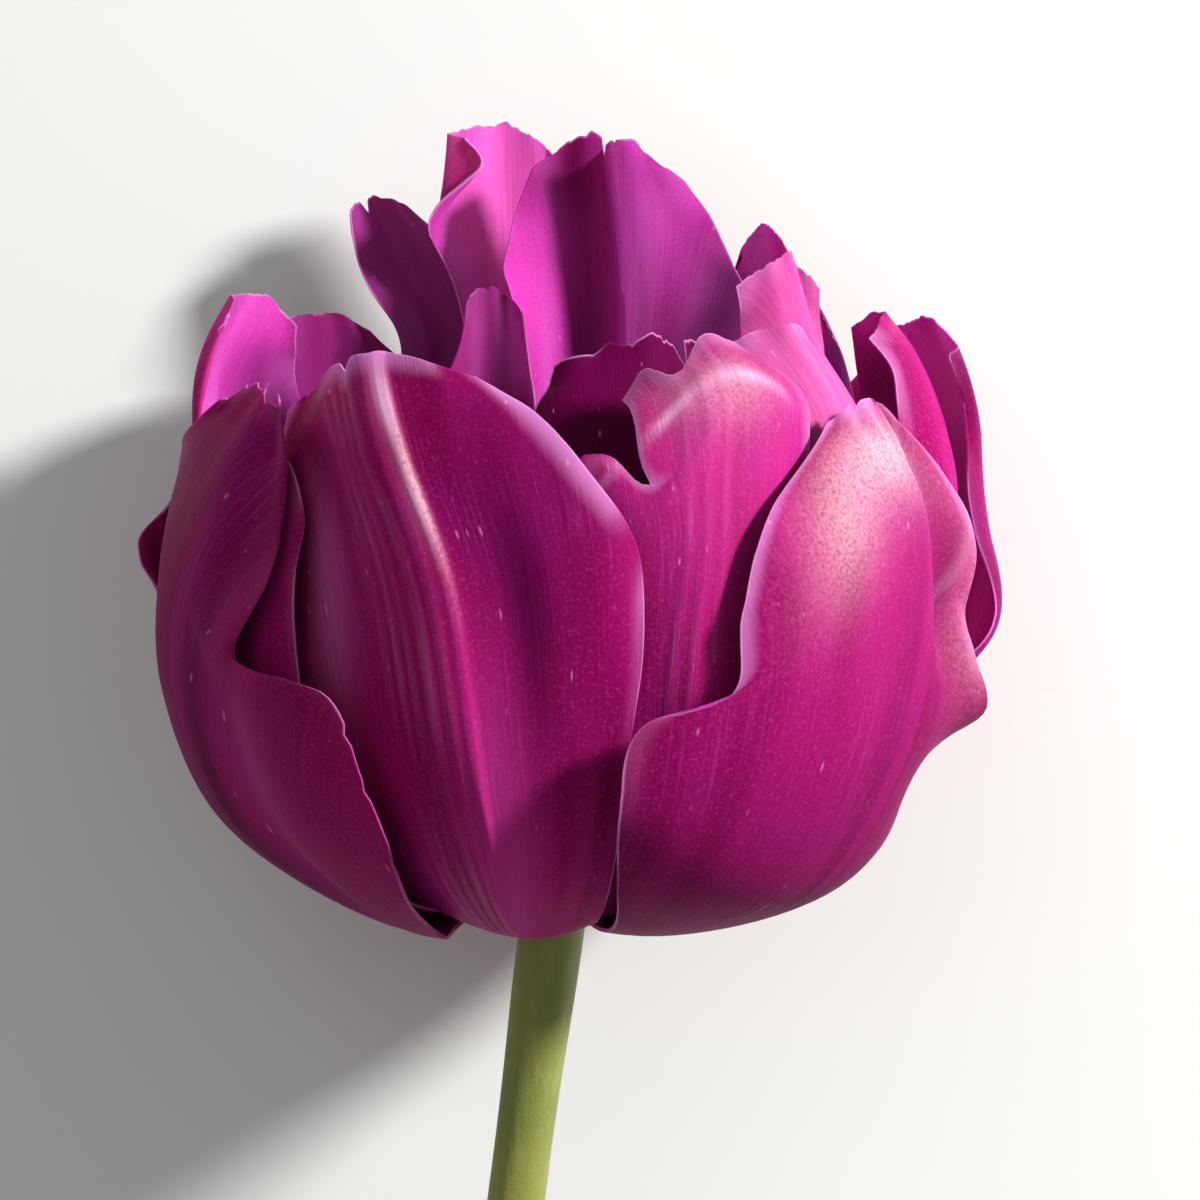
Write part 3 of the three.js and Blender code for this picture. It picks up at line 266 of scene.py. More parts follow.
        [(128, 14, 3.4), (126, 29, 12), (124, 34, 28), (124, 34, 46), (129, 33, 62), (134, 32, 75)],
        [(152, 16, 4), (156, 28, 13), (156, 33, 28), (153, 33, 46), (147, 32, 60), (139, 32, 71)]),
    row("petal_third_front", 2,
        [(-24, 16, 4), (-30, 28, 13), (-34, 33, 27), (-30, 33, 37), (-14, 32, 44)],
        [(2, 14, 3.4), (3, 29, 12), (4, 34, 26), (5, 34, 38), (6, 31, 46)],
        [(28, 16, 4), (34, 28, 13), (36, 33, 27), (33, 33, 36), (21, 31, 44)],
        shade=0.6),
    row("petal_inner_right", 85,
        [(62, 15, 5), (56, 25, 14), (56, 29, 28), (60, 27, 46), (70, 21, 60), (79, 20.5, 68)],
        [(84, 13, 4.6), (84, 26, 13), (84, 31, 28), (84, 31, 46), (85, 28.5, 60), (88, 25, 72.3)],
        [(108, 15, 5), (112, 25, 14), (110, 30, 28), (102, 31, 46), (94, 30.5, 58), (90, 29.5, 68)],
        frill=0.8, ragged=0.01, frost=0.3, glows=[(0.9, 0.2, 0.15, 1.0, 0.45, 0.12)]),
    row("petal_inner_left", -64,
        [(-90, 15, 5), (-96, 25, 14), (-98, 30, 28), (-94, 30, 42), (-80, 28, 53)],
        [(-64, 13, 4.6), (-64, 26, 13), (-64, 31, 28), (-64, 31, 42), (-62, 27, 56)],
        [(-38, 15, 5), (-30, 25, 14), (-28, 30, 28), (-34, 30, 42), (-46, 27, 54)]),
    row("petal_back_tall", 170,
        [(146, 15, 5), (134, 24, 14), (124, 28, 30), (114, 28, 48), (120, 29, 61), (138, 35.6, 72),
         (153, 33.8, 80.5)],
        [(170, 13, 4.6), (170, 25, 13), (169, 29, 30), (167, 30, 48), (166, 30.5, 68), (168, 29.5, 85.8)],
        [(196, 15, 5), (206, 24, 14), (208, 28, 30), (203, 26, 48), (192, 24, 62), (193, 26.5, 71),
         (186, 28.5, 81.5)],
        wave=(0.7, 4, 0.2), creases=[], folds=[(-1, 0, 0.14, 3.8, 0.5)], frill=0.5, ragged=0.013,
        glows=[(0.7, 0.75, 0.3, 0.25, 0.2, 0.0)], notches=[(0.0, 0.06, 0.014)],
        shades=[(0.7, 0.25, 0.6, 0.2, 0.6), (0.8, -0.8, 0.14, 0.25, 0.6),
                (0.97, 0.5, 0.06, 0.4, 0.5), (0.97, -0.4, 0.05, 0.3, 0.4)]),
    row("petal_inner_front", 22,
        [(-4, 14, 6), (-14, 22, 15), (-18, 26, 28), (-16, 25, 42), (-8, 19, 54), (2, 15, 60)],
        [(24, 12, 5.8), (24, 23, 14), (24, 27, 28), (26, 26, 42), (32, 21, 54), (40, 17, 63.5)],
        [(50, 14, 6), (58, 22, 15), (66, 26, 28), (68, 25, 42), (66, 21, 54), (60, 18, 62)],
        frill=0.8, ragged=0.022, frost=0.0, shade=0.9, notches=[(0.45, 0.1, 0.04)]),
    row("petal_inner_back_left", -130,
        [(-156, 14, 6), (-165, 22, 15), (-172, 24, 28), (-176, 20, 44), (-172, 16, 55), (-166, 16, 65)],
        [(-130, 12, 5.8), (-134, 22, 14), (-140, 25, 28), (-146, 22, 44), (-152, 17, 57), (-152, 16, 68)],
        [(-104, 14, 6), (-98, 22, 15), (-100, 25, 28), (-112, 22, 44), (-130, 18, 56), (-141, 16, 66)],
        ragged=0.01, shade=0.62, shades=[(0.8, -0.6, 0.5, 0.6, 0.3)],
        glows=[(0.85, 0.5, 0.3, 0.4, 0.5, 0.0)]),
]


def ease(value):
    value = np.clip(value, 0, 1)
    return value * value * (3 - 2 * value)


def bell(value):
    return np.exp(-(value**2))


def curve_weights(f):
    """How much the four points round a place on a smooth curve count."""
    return (
        ((2 - f) * f - 1) * f / 2,
        ((3 * f - 5) * f * f + 2) / 2,
        ((4 - 3 * f) * f + 1) * f / 2,
        (f - 1) * f * f / 2,
    )


def extended(points):
    """The points with one more before and after, straight on."""
    return np.concatenate([[2 * points[0] - points[1]], points, [2 * points[-1] - points[-2]]])


def along(points, share):
    """A smooth curve through evenly spaced points, read at shares 0 to 1 of its length."""
    points = np.asarray(points, float)
    last = len(points) - 1
    place = np.clip(np.asarray(share, float) * last, 0, last - 1e-9)
    k = place.astype(int)
    f = (place - k).reshape(k.shape + (1,) * (points.ndim - 1))
    around = extended(points)
    return sum(weight * around[k + n] for n, weight in enumerate(curve_weights(f)))


def surface(grid, share, across):
    """A smooth surface through a grid, read at shares 0 to 1 of its rows and of its columns."""
    around = extended(grid)
    around = np.swapaxes(extended(np.swapaxes(around, 0, 1)), 0, 1)
    rows, columns = grid.shape[0] - 1, grid.shape[1] - 1
    x = np.clip(share * rows, 0, rows - 1e-9)
    y = np.clip(across * columns, 0, columns - 1e-9)
    i, j = x.astype(int), y.astype(int)
    f, g = x - i, y - j
    if grid.ndim == 3:
        f, g = f[..., None], g[..., None]
    total = 0
    for n, weight in enumerate(curve_weights(f)):
        for m, other in enumerate(curve_weights(g)):
            total = total + weight * other * around[i + n, j + m]
    return total


def refine(grid, steps):
    share = np.linspace(0, 1, (grid.shape[0] - 1) * steps + 1)[:, None]
    across = np.linspace(0, 1, (grid.shape[1] - 1) * steps + 1)[None, :]
    share, across = np.broadcast_arrays(share, across)
    return surface(grid, share, across)


def seat_levels():
    """Each petal is seated as low on the receptacle as the ones already there leave room."""
    levels = []
    for k, petal in enumerate(PETALS):
        level = 0
        for other, taken in zip(PETALS[:k], levels):
            apart = abs((petal["seat"] - other["seat"] + 180) % 360 - 180)
            if apart < 2 * SEAT_HALF_ANGLE + SEAT_SPARE_ANGLE:
                level = max(level, taken + 1)
        levels.append(level)
    return levels


def petal_rails(petal, level, share):
    """The left margin, the rib and the right margin of a petal at shares 0 to 1 of its length."""
    seat_height = SEAT_BOTTOM + SEAT_STEP * level

    def rail(points, turn):
        (azimuth, radius, height), *rest = points
        first = (petal["seat"] + turn, SEAT_RADIUS, seat_height)
        second = (azimuth, radius, max(height, seat_height - DEEPEST_DIP))
        return along([first, second, *rest], share)

    turns = {"left": -SEAT_HALF_ANGLE, "rib": 0, "right": SEAT_HALF_ANGLE}
    return [rail(petal[side], turn) for side, turn in turns.items()]


def bitten(petal, share, across):
    """The places to read a petal at so that its margin has the notches bitten into it."""
    for way, at, length, cut, drop in petal.get("bites", []):
        opened = np.maximum(0, 1 - np.abs(share - at) / length)
        across = across * np.where(way * across > 0, 1 - cut * opened, 1)
        under = bell((way * across - 1 + cut) / BITE_SPREAD) * bell((share - at) / BITE_REACH)
        share = share - drop * under
    return share, across


def petal_surface(petal, level, share, across):
    """The middle surface of a petal in the bloom's own frame, read at shares 0 to 1 of its length
    and at places -1 to 1 across it."""
    share, across = bitten(petal, share, across)
    left, middle, right = petal_rails(petal, level, share)
    out = np.abs(across)
    margin = np.where(across[..., None] < 0, left, right)
    depth, waves, phase = petal["wave"]
    turn = 2 * np.pi * (waves * share + phase) + np.where(across > 0, RIGHT_WAVE_LAG, 0)
    azimuth = middle[..., 0] + (margin[..., 0] - middle[..., 0]) * out
    radius = middle[..., 1] + (margin[..., 1] - middle[..., 1]) * out**2
    radius = radius + depth * out**3 * np.sin(turn) * ease((share - WAVE_START) / RELIEF_GROWTH)
    for place, width, rise, start in petal.get("creases", []):
        radius = radius + rise * bell((across - place) / width) * ease((share - start) / RELIEF_GROWTH)
    for at, place, length, width, sink in petal.get("dents", []):
        radius = radius - sink * bell((share - at) / length) * bell((across - place) / width)
    for way, place, width, sink, start in petal.get("folds", []):
        step = ease((way * across - place) / width + 0.5)
        radius = radius - sink * step * ease((share - start) / FOLD_GROWTH)
    for way, begin, turned, sink, start, end in petal.get("curls", []):
        grown = ease((share - start) / CURL_GROWTH) * ease((end - share) / CURL_GROWTH)
        curl = ease((way * across - begin) / (1 - begin)) * grown
        azimuth = azimuth - way * turned * curl
        radius = radius - sink * curl
    azimuth = np.radians(azimuth)
    height = middle[..., 2] + (margin[..., 2] - middle[..., 2]) * out**2
    return np.stack([radius * np.sin(azimuth), -radius * np.cos(azimuth), height], -1)


def petal_grid(petal, level):
    """The coarse rows of a petal from its seat to its tip, as in the construction."""
    share = np.linspace(0, 1, PETAL_ROWS + 1)[:, None]
    across = np.linspace(-1, 1, PETAL_COLUMNS + 1)[None, :]
    return petal_surface(petal, level, *np.broadcast_arrays(share, across))


# Cells of the sky round the bloom's heart, in which the room left for the next petal is kept
CELL = 3
AZIMUTH_CELLS = 360 // CELL
RISE_CELLS = 180 // CELL
CELL_GRADE = 0.4
SPREAD_ROUNDS = 6
SPREAD_SHARE = 0.92
REFINE_STEPS = 6
SEAT_HOLD = (0.0, 0.6)


def from_heart(points):
    away = points - HEART
    distance = np.linalg.norm(away, axis=-1)
    azimuth = np.degrees(np.arctan2(away[..., 0], -away[..., 1])) % 360
    rise = np.degrees(np.arcsin(np.clip(away[..., 2] / distance, -1, 1))) + 90
    column = (azimuth // CELL).astype(int) % AZIMUTH_CELLS
    line = np.minimum(RISE_CELLS - 1, (rise // CELL).astype(int))
    return away, distance, column, line


def nest(grids):
    """Bends each petal in, from the outermost on, until it clears those already placed. The ones
    underneath are first flattened where they rest on the table."""
    limit = np.full((AZIMUTH_CELLS, RISE_CELLS), np.inf)
    nested = []
    for grid in grids:
        height = RECEPTACLE_HEIGHT + grid @ SKY
        rested = grid + np.maximum(0, PETAL_THICKNESS / 2 - height)[..., None] * SKY
        away, distance, column, line = from_heart(rested)
        need = np.maximum(0, distance - limit[column, line])
        for row, hold in enumerate(SEAT_HOLD):
            need[row] *= hold
        push = need
        for _ in range(SPREAD_ROUNDS):
            wide = np.pad(push, 1, mode="edge")
            around = wide[:-2, 1:-1] + wide[2:, 1:-1] + wide[1:-1, :-2] + wide[1:-1, 2:]
            push = np.maximum(need, SPREAD_SHARE * around / 4)
        push[0] = 0
        bent = rested - away * (push / distance)[..., None]
        nested.append(bent)
        _, distance, column, line = from_heart(refine(bent, REFINE_STEPS))
        own = np.full_like(limit, np.inf)
        np.minimum.at(own, (column.ravel(), line.ravel()), distance.ravel() - LAYER_SPACING)
        tall = np.pad(own, ((0, 0), (1, 1)), constant_values=np.inf)
        for aside in (-1, 0, 1):
            for above in (-1, 0, 1):
                moved = np.roll(tall, aside, 0)[:, 1 - above:RISE_CELLS + 1 - above]
                limit = np.minimum(limit, moved + (CELL_GRADE if aside or above else 0))
    return nested


def normals(grid):
    """Unit normals of a grid, which on a petal point in to the bloom's axis."""
    lengthwise = np.gradient(grid, axis=0)
    crosswise = np.gradient(grid, axis=1)
    facing = np.cross(lengthwise, crosswise)
    return facing / np.linalg.norm(facing, axis=-1, keepdims=True)


def noise(share, across, rows, columns, seed):
    """Smooth noise from -1 to 1 with the given number of swells along and across."""
    lattice = np.random.RandomState(seed).uniform(-1, 1, (rows + 1, columns + 1))
    return surface(lattice, share, across)


def ripple(share, count, seed):
    """Smooth noise along one direction."""
    return along(np.random.RandomState(seed).uniform(-1, 1, count + 1), share)


# Every placed solid is turned from the bloom's own frame to where the flower lies
UP = np.array([0.0, np.cos(TILT), np.sin(TILT)])
BACK = np.array([0.0, np.sin(TILT), -np.cos(TILT)])


def lie(points):
    points = np.asarray(points, float)
    turned = points[..., :1] * np.array([1.0, 0, 0]) + points[..., 1:2] * BACK + points[..., 2:] * UP
    return turned + np.array([0, 0, RECEPTACLE_HEIGHT])


LEVELS = seat_levels()
FREE_GRIDS = [petal_grid(petal, level) for petal, level in zip(PETALS, LEVELS)]
GRIDS = nest([grid.copy() for grid in FREE_GRIDS])


def two_faces(middle, thickness):
    """Both faces of a blade, half its thickness away from its middle surface."""
    away = normals(middle) * np.asarray(thickness)[..., None] / 2
    return np.stack([middle + away, middle - away])


# The construction's origin is under the middle of the whole flower. The first petal gives the move.
first_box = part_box(PETALS[0]["name"])
first_low = lie(two_faces(GRIDS[0], PETAL_THICKNESS)).reshape(-1, 3).min(0)
SHIFT = np.array([first_box[0][0] / MM - first_low[0], first_box[0][1] / MM - first_low[1], 0])
SHARP_ANGLE = np.radians(50)


def new_mesh(name, points, faces, uvs=None, **values):
    """A smooth-shaded mesh of points in millimetres on the table, with values kept per vertex."""
    mesh = bpy.data.meshes.new(name)
    mesh.from_pydata(((points + SHIFT) * MM).tolist(), [], faces)
    mesh.update()
    if uvs is not None:
        layer = mesh.uv_layers.new(name="along")
        corners = np.empty(len(mesh.loops), int)
        mesh.loops.foreach_get("vertex_index", corners)
        layer.data.foreach_set("uv", uvs[corners].ravel())
    for key, value in values.items():
        attribute = mesh.attributes.new(key, "FLOAT", "POINT")
        everywhere = np.broadcast_to(value, len(mesh.vertices))
        attribute.data.foreach_set("value", everywhere.astype(np.float32))
    mesh.shade_smooth()
    mesh.set_sharp_from_angle(angle=SHARP_ANGLE)
    piece = bpy.data.objects.new(name, mesh)
    bpy.context.collection.objects.link(piece)
    return piece


def sheet_faces(rows, columns):
    """Faces of a closed blade: its two sides and the rim that joins them."""
    index = np.arange(2 * rows * columns).reshape(2, rows, columns)
    top, under = index
    sides = [
        np.stack([top[:-1, :-1], top[1:, :-1], top[1:, 1:], top[:-1, 1:]], -1).reshape(-1, 4),
        np.stack([under[:-1, :-1], under[:-1, 1:], under[1:, 1:], under[1:, :-1]], -1).reshape(-1, 4),
    ]
    rim = np.concatenate([
        index[:, 0, :-1], index[:, :-1, -1], index[:, -1, :0:-1], index[:, :0:-1, 0],
    ], axis=1)
    after = np.roll(rim, -1, axis=1)
    sides.append(np.stack([rim[0], after[0], after[1], rim[1]], -1))
    return np.concatenate(sides).tolist()


def spans(grid, axis):
    """How far each point lies along its row or column, in millimetres."""
    steps = np.linalg.norm(np.diff(grid, axis=axis), axis=-1)
    pad = [(0, 0), (0, 0)]
    pad[axis] = (1, 0)
    return np.cumsum(np.pad(steps, pad), axis=axis)


def both(value):
    """A value per point of one face of a blade, for both its faces."""
    return np.stack([value, value]).ravel()


# Fine petals
FINE_ROWS = 92
FINE_COLUMNS = 72
EVEN_PLACES = 401
TIP_ROW_SPREAD = 0.1
VEIN_FAN = 0.5
MARGIN_DENSITY = 1.2
# How strong the painted sheen along the outer margins is where a petal gives none
FROST = 0.12
BLOOM_RADIUS = 45
SWELL_DEPTH = 0.4
WRINKLE_DEPTH = 0.03
VEIN_DEPTH = 0.07
MARGIN_THICKNESS = 0.16
MIDDLE_THICKNESS = 0.22
FOOT_THICKNESS = 0.35
TONES = 7


def columns_of(petal):
    """Places across a petal from -1 to 1, closer together at its margins and where it has fine ribs."""
    even = np.linspace(-1, 1, EVEN_PLACES)
    density = 1 + MARGIN_DENSITY * np.abs(even) ** 6
    for place, width, extra in petal.get("dense", []):
        density = density + extra * bell((even - place) / width)
    travelled = np.cumsum(density)
    travelled = (travelled - travelled[0]) / (travelled[-1] - travelled[0])
    return np.interp(np.linspace(0, 1, FINE_COLUMNS + 1), travelled, even)


def vein_place(petal, level, share, across):
    """Places along and across a petal for its veins, which run on past the notches and lobes of its
    margins."""
    share, across = bitten(petal, share, across)
    length = np.linspace(0, 1, FINE_ROWS + 1)

    def half_widths(at):
        left, middle, right = petal_rails(petal, level, at)
        return [np.abs(margin[..., 0] - middle[..., 0]) for margin in (left, right)]

    ratio = [own / even.mean() for own, even in zip(half_widths(share), half_widths(length))]
    return share, across * np.where(across < 0, *ratio)


def spots(patches, value, up, aside):
    """A value with soft spots added, each of a place along and across, a length, width and strength."""
    for at, place, length, width, strength in patches:
        value = value + strength * bell((up - at) / length) * bell((aside - place) / width)
    return value


def petal_piece(petal, grid, number):
    """A petal with its frills, ribs, ragged margin and thin edge, over the construction's petal."""
    seed = 100 * (number + 1)
    share = np.linspace(0, 1, FINE_ROWS + 1)
    share = (share + TIP_ROW_SPREAD * np.sin(np.pi * share) ** 2 * share)[:, None]
    across = columns_of(petal)[None, :]
    share, across = np.broadcast_arrays(share / share[-1], across)
    out = np.abs(across)
    grown = ease((share - 0.15) / 0.25)

    def by_side(count, offset):
        sides = [ripple(share, count, seed + offset + side) for side in (0, 1)]
        return np.where(across < 0, *sides)

    halfway = (across + 1) / 2
    ragged = petal["ragged"]
    nick = ragged * (np.abs(by_side(9, 10)) + 0.5 * np.maximum(0, by_side(60, 20)))
    tip_nick = ragged * np.abs(ripple(halfway, 6, seed + 30))
    tip_nick = tip_nick + ragged * 0.4 * np.maximum(0, ripple(halfway, 40, seed + 31))
    for place, width, depth in petal.get("notches", []):
        tip_nick = tip_nick + depth * bell((across - place) / width)
    cut_across = across * (1 - nick * grown * out**7)
    cut_share = share * (1 - tip_nick * share**10)
    finer = petal_surface(petal, LEVELS[number], cut_share, cut_across)
    bent, free = (surface(rows, cut_share, (cut_across + 1) / 2) for rows in (grid, FREE_GRIDS[number]))
    inward = 1 - petal.get("inset", 0.0) / BLOOM_RADIUS
    base = (bent + finer - free) * [inward, inward, 1]
    facing = normals(base)

    up, aside = vein_place(petal, LEVELS[number], cut_share, cut_across)
    vein = (aside * (1 - VEIN_FAN * share**2) + 1) / 2
    inside = 1 - out**4
    relief = SWELL_DEPTH * noise(share, halfway, 5, 4, seed + 40) * grown
    relief = relief + WRINKLE_DEPTH * ripple(vein, 34, seed + 41) * grown * inside
    relief = relief + VEIN_DEPTH * ripple(vein, 13, seed + 42) * grown * inside
    frill = petal["frill"] * (by_side(11, 50) + 0.35 * by_side(26, 60)) * out**5
    frill = frill + 0.7 * petal["frill"] * ripple(halfway, 9, seed + 70) * share**12
    relief = relief + frill * grown
    # Painted highlights: pale lines along the crests of ridges and bends, and pale spots with the painted
    # light
    pale = np.zeros_like(share)
    for place, slope, width, height, start, paleness in petal.get("ridges", []):
        from_crest = (2 * vein - 1) - place - slope * (share - 0.6)
        begun = ease((share - start) / 0.2)
        relief = relief - height * bell(from_crest / width) * begun * (1 - 0.5 * share**4)
        broken = 0.6 + 0.5 * ripple(share, 12, seed + 80)
        pale = pale + paleness * bell(1.5 * from_crest / width) * begun * broken
    for place, sag, end, width, height, paleness in petal.get("bends", []):
        from_crest = up - place + sag * aside**2
        kept = ease((end - aside) / 0.4)
        relief = relief - height * bell(from_crest / width) * inside * kept
        uneven = 0.75 + 0.4 * ripple(halfway, 9, seed + 81)
        pale = pale + paleness * bell(1.3 * from_crest / width) * kept * uneven
    # Painted light: spots coloured brighter where the petal is lit
    glow = np.zeros_like(share)
    for at, place, length, width, strength, paleness in petal.get("glows", []):
        spot = bell((up - at) / length) * bell((aside - place) / width)
        glow = glow + strength * spot
        pale = pale + paleness * spot
    # Painted glints: spots where the petal sparkles as if catching the light
    spark = spots(petal.get("sparks", []), np.zeros_like(share), up, aside)
    # Painted shade: the petal's darkness all over, partly a deeper pigment, with spots of painted shade
    # where shadow falls on it
    shade = spots(petal.get("shades", []), np.full_like(share, petal.get("shade", 0.0)), up, aside)
    middle = base + facing * relief[..., None]

    thickness = MARGIN_THICKNESS + MIDDLE_THICKNESS * (1 - out**6) * (1 - share**10)
    thickness = thickness + FOOT_THICKNESS * (1 - share) ** 3
    placed = lie(two_faces(middle, thickness))
    placed[..., 2] = np.maximum(placed[..., 2], 0)
    width_left = spans(base, 1)
    to_side = np.minimum(width_left, width_left[:, -1:] - width_left)
    to_tip = spans(base, 0)[-1:] - spans(base, 0)
    edge = np.minimum(to_side, to_tip)
    uvs = np.stack([both(vein), both(share)], -1)
    outer = np.repeat([0.0, 1.0], edge.size)
    # Painted sheen along the margin of the outer face, growing towards the tip
    frost = petal.get("frost", FROST) * ease(2 * share - 0.6)
    piece = new_mesh(
        petal["name"] + "_fine", placed.reshape(-1, 3), sheet_faces(*edge.shape), uvs,
        edge=both(edge), outer=outer, tone=number % TONES / (TONES - 1),
        broad=both(0.5 + 0.5 * noise(share, vein, 3, 16, seed + 90)),
        patch=both(0.5 + 0.5 * noise(share, halfway, 8, 7, seed + 91)),
        shade=both(np.clip(shade, 0, 1)), glow=both(np.clip(glow, 0, 1)),
        pale=both(np.clip(pale, 0, 1)), spark=both(np.clip(spark, 0, 1)), frost=outer * both(frost),
    )
    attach(piece, "root")
    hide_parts(petal["name"])
    return piece


class Nodes:
    """A short way to write a material's node tree."""

    def __init__(self, name):
        self.material = bpy.data.materials.new(name)
        self.material.use_nodes = True
        self.tree = self.material.node_tree
        self.shader = self.tree.nodes["Principled BSDF"]

    def add(self, kind, inputs=(), **settings):
        node = self.tree.nodes.new("ShaderNode" + kind)
        for key, value in settings.items():
            setattr(node, key, value)
        for key, value in dict(inputs).items():
            self.set(node.inputs[key], value)
        return node

    def set(self, socket, value):
        if isinstance(value, bpy.types.NodeSocket):
            self.tree.links.new(value, socket)
        else:
            socket.default_value = value

    def math(self, operation, a, b=0.0, clamp=False):
        node = self.add("Math", {0: a, 1: b}, operation=operation)
        node.use_clamp = clamp
        return node.outputs[0]

    def times(self, a, b):
        return self.math("MULTIPLY", a, b)

    def times_plus(self, a, b, c):
        return self.add("Math", {0: a, 1: b, 2: c}, operation="MULTIPLY_ADD").outputs[0]

    def remap(self, value, low, high, to_low, to_high):
        """Low to high taken to another range, straight on and no further."""
        ends = {"From Min": low, "From Max": high, "To Min": to_low, "To Max": to_high}
        return self.add("MapRange", {"Value": value, **ends}).outputs["Result"]

    def bump(self, height, strength, distance):
        node = self.add("Bump", {"Height": height, "Strength": strength, "Distance": distance})
        return node.outputs["Normal"]

    def ramp(self, value, low, high):
        """0 below low, 1 above high, smooth between."""
        node = self.add("MapRange", {"Value": value, "From Min": low, "From Max": high})
        node.interpolation_type = "SMOOTHSTEP"
        return node.outputs["Result"]

    def mix(self, share, a, b):
        node = self.add("Mix", data_type="RGBA")
        colour_a, colour_b = [s for s in node.inputs if s.type == "RGBA"]
        self.set(node.inputs[0], share)
        self.set(colour_a, a)
        self.set(colour_b, b)
        return [s for s in node.outputs if s.type == "RGBA"][0]

    def tint(self, base, mask, strength, other):
        """A base colour, turned to another where the mask is 1 and as far as the strength says."""
        return self.mix(self.times(mask, strength), base, other)

    def noise(self, vector, scale, detail=2.0, roughness=0.5, dimensions="3D"):
        node = self.add("TexNoise", noise_dimensions=dimensions)
        inputs = {"Vector": vector, "Scale": scale, "Detail": detail, "Roughness": roughness}
        for key, value in inputs.items():
            self.set(node.inputs[key], value)
        return node.outputs["Fac"]

    def value(self, name):
        return self.add("Attribute", attribute_name=name).outputs["Fac"]

    def finish(self, **inputs):
        for key, value in inputs.items():
            self.set(self.shader.inputs[key.replace("_", " ")], value)
        return self.material


def colour(red, green, blue):
    """An sRGB colour of 0 to 255 as the shader takes it."""
    part = np.array([red, green, blue]) / 255
    linear = np.where(part <= 0.04045, part / 12.92, ((part + 0.055) / 1.055) ** 2.4)
    return (*linear.tolist(), 1.0)


OUTER_DEEP = colour(136, 8, 80)
OUTER_LIGHT = colour(158, 18, 100)
INNER_DEEP = colour(182, 52, 154)
INNER_LIGHT = colour(202, 86, 184)


def petal_material():
    """Silky magenta, deeper outside than inside, with fine veins that fan out to the margin, painted
    highlights on its crests and bends, spots of painted light, painted shade and painted glints, a painted
    sheen along its outer margins, a few flecks, a thin pale rim and a green-white foot."""
    n = Nodes("petal")
    uv = n.add("UVMap", uv_map="along").outputs["UV"]
    split = n.add("SeparateXYZ", {0: uv})
    vein, share = split.outputs[0], split.outputs[1]
    lengthwise = n.times_plus(n.value("tone"), 37.0, n.times(share, 5.0))
    fine_place = n.add("CombineXYZ", {0: n.times(vein, 150.0), 1: lengthwise})
    fine = n.noise(fine_place.outputs[0], 1.0, 2.0, 0.6, "2D")
    broad, patch, edge = (n.value(name) for name in ("broad", "patch", "edge"))

    outer = n.mix(n.ramp(broad, 0.2, 0.8), OUTER_DEEP, OUTER_LIGHT)
    inner = n.mix(n.ramp(broad, 0.2, 0.8), INNER_DEEP, INNER_LIGHT)
    body = n.mix(n.value("outer"), inner, outer)
    streaky = n.remap(patch, 0.3, 0.75, 0.04, 0.2)
    body = n.tint(body, n.ramp(fine, 0.5, 0.78), streaky, colour(214, 84, 176))
    body = n.tint(body, n.ramp(fine, 0.5, 0.22), streaky, colour(96, 4, 62))
    where = n.add("TexCoord").outputs["Object"]
    grain = n.noise(where, 2600.0, 2.0)
    body = n.tint(body, n.ramp(grain, 0.5, 0.8), 0.22, colour(222, 84, 178))
    body = n.tint(body, n.ramp(grain, 0.5, 0.2), 0.25, colour(104, 4, 66))
    body = n.tint(body, n.ramp(patch, 0.5, 0.9), 0.18, colour(118, 22, 122))
    # Painted light: brighter magenta in the spots of painted light
    body = n.mix(n.value("glow"), body, colour(224, 72, 168))
    # Painted shade, partly a deeper wine pigment, turns the colour dark wine
    body = n.mix(n.value("shade"), body, colour(74, 4, 50))
    # Painted highlights, broken up along the veins
    uneven = n.remap(fine, 0.25, 0.6, 0.55, 1.0)
    body = n.tint(body, n.times(n.value("pale"), uneven), 0.85, colour(244, 196, 232))
    # Painted glints: near-white specks where the spots of painted glint are
    sparkle = n.times(n.value("spark"), n.ramp(n.noise(where, 2600.0, 3.0, 0.6), 0.05, 0.7))
    body = n.mix(sparkle, body, colour(252, 206, 206))

    rim = n.times(n.ramp(edge, 0.35, 0.05), n.ramp(patch, 0.35, 0.7))
    body = n.tint(body, rim, 0.55, colour(222, 140, 202))
    # Painted sheen along the upper margins of the outer face, patchy
    frost = n.times(n.ramp(edge, 3.2, 0.2), n.value("frost"))
    frost = n.times(frost, n.ramp(patch, 0.15, 0.6))
    body = n.mix(frost, body, colour(206, 132, 196))
    foot = n.ramp(n.times_plus(fine, 0.03, share), 0.085, 0.02)
    body = n.tint(body, foot, 0.85, colour(186, 186, 104))

    dot_along = n.times_plus(n.value("tone"), 61.0, n.times(share, 22.0))
    dot_place = n.add("CombineXYZ", {0: n.times(vein, 44.0), 1: dot_along}).outputs[0]
    spacing = {"Vector": dot_place, "Scale": 1.0, "Randomness": 1.0}
    dots = n.add("TexVoronoi", spacing, voronoi_dimensions="2D")
    size = n.times(n.ramp(dots.outputs["Color"], 0.75, 1.0), 0.2)
    dot = n.ramp(n.math("SUBTRACT", dots.outputs["Distance"], size), 0.05, -0.12)
    dot = n.times(dot, n.ramp(size, 0.01, 0.12))
    body = n.tint(body, dot, 0.36, colour(238, 150, 204))

    bump = n.bump(fine, 0.2, 0.0002)
    return n.finish(
        Base_Color=body, Roughness=n.remap(fine, 0.0, 1.0, 0.5, 0.4), Normal=bump,
        IOR=1.4, Specular_IOR_Level=0.02, Specular_Tint=colour(255, 170, 232),
        Subsurface_Weight=0.35, Subsurface_Radius=(1.0, 0.22, 0.6), Subsurface_Scale=0.0012,
    )


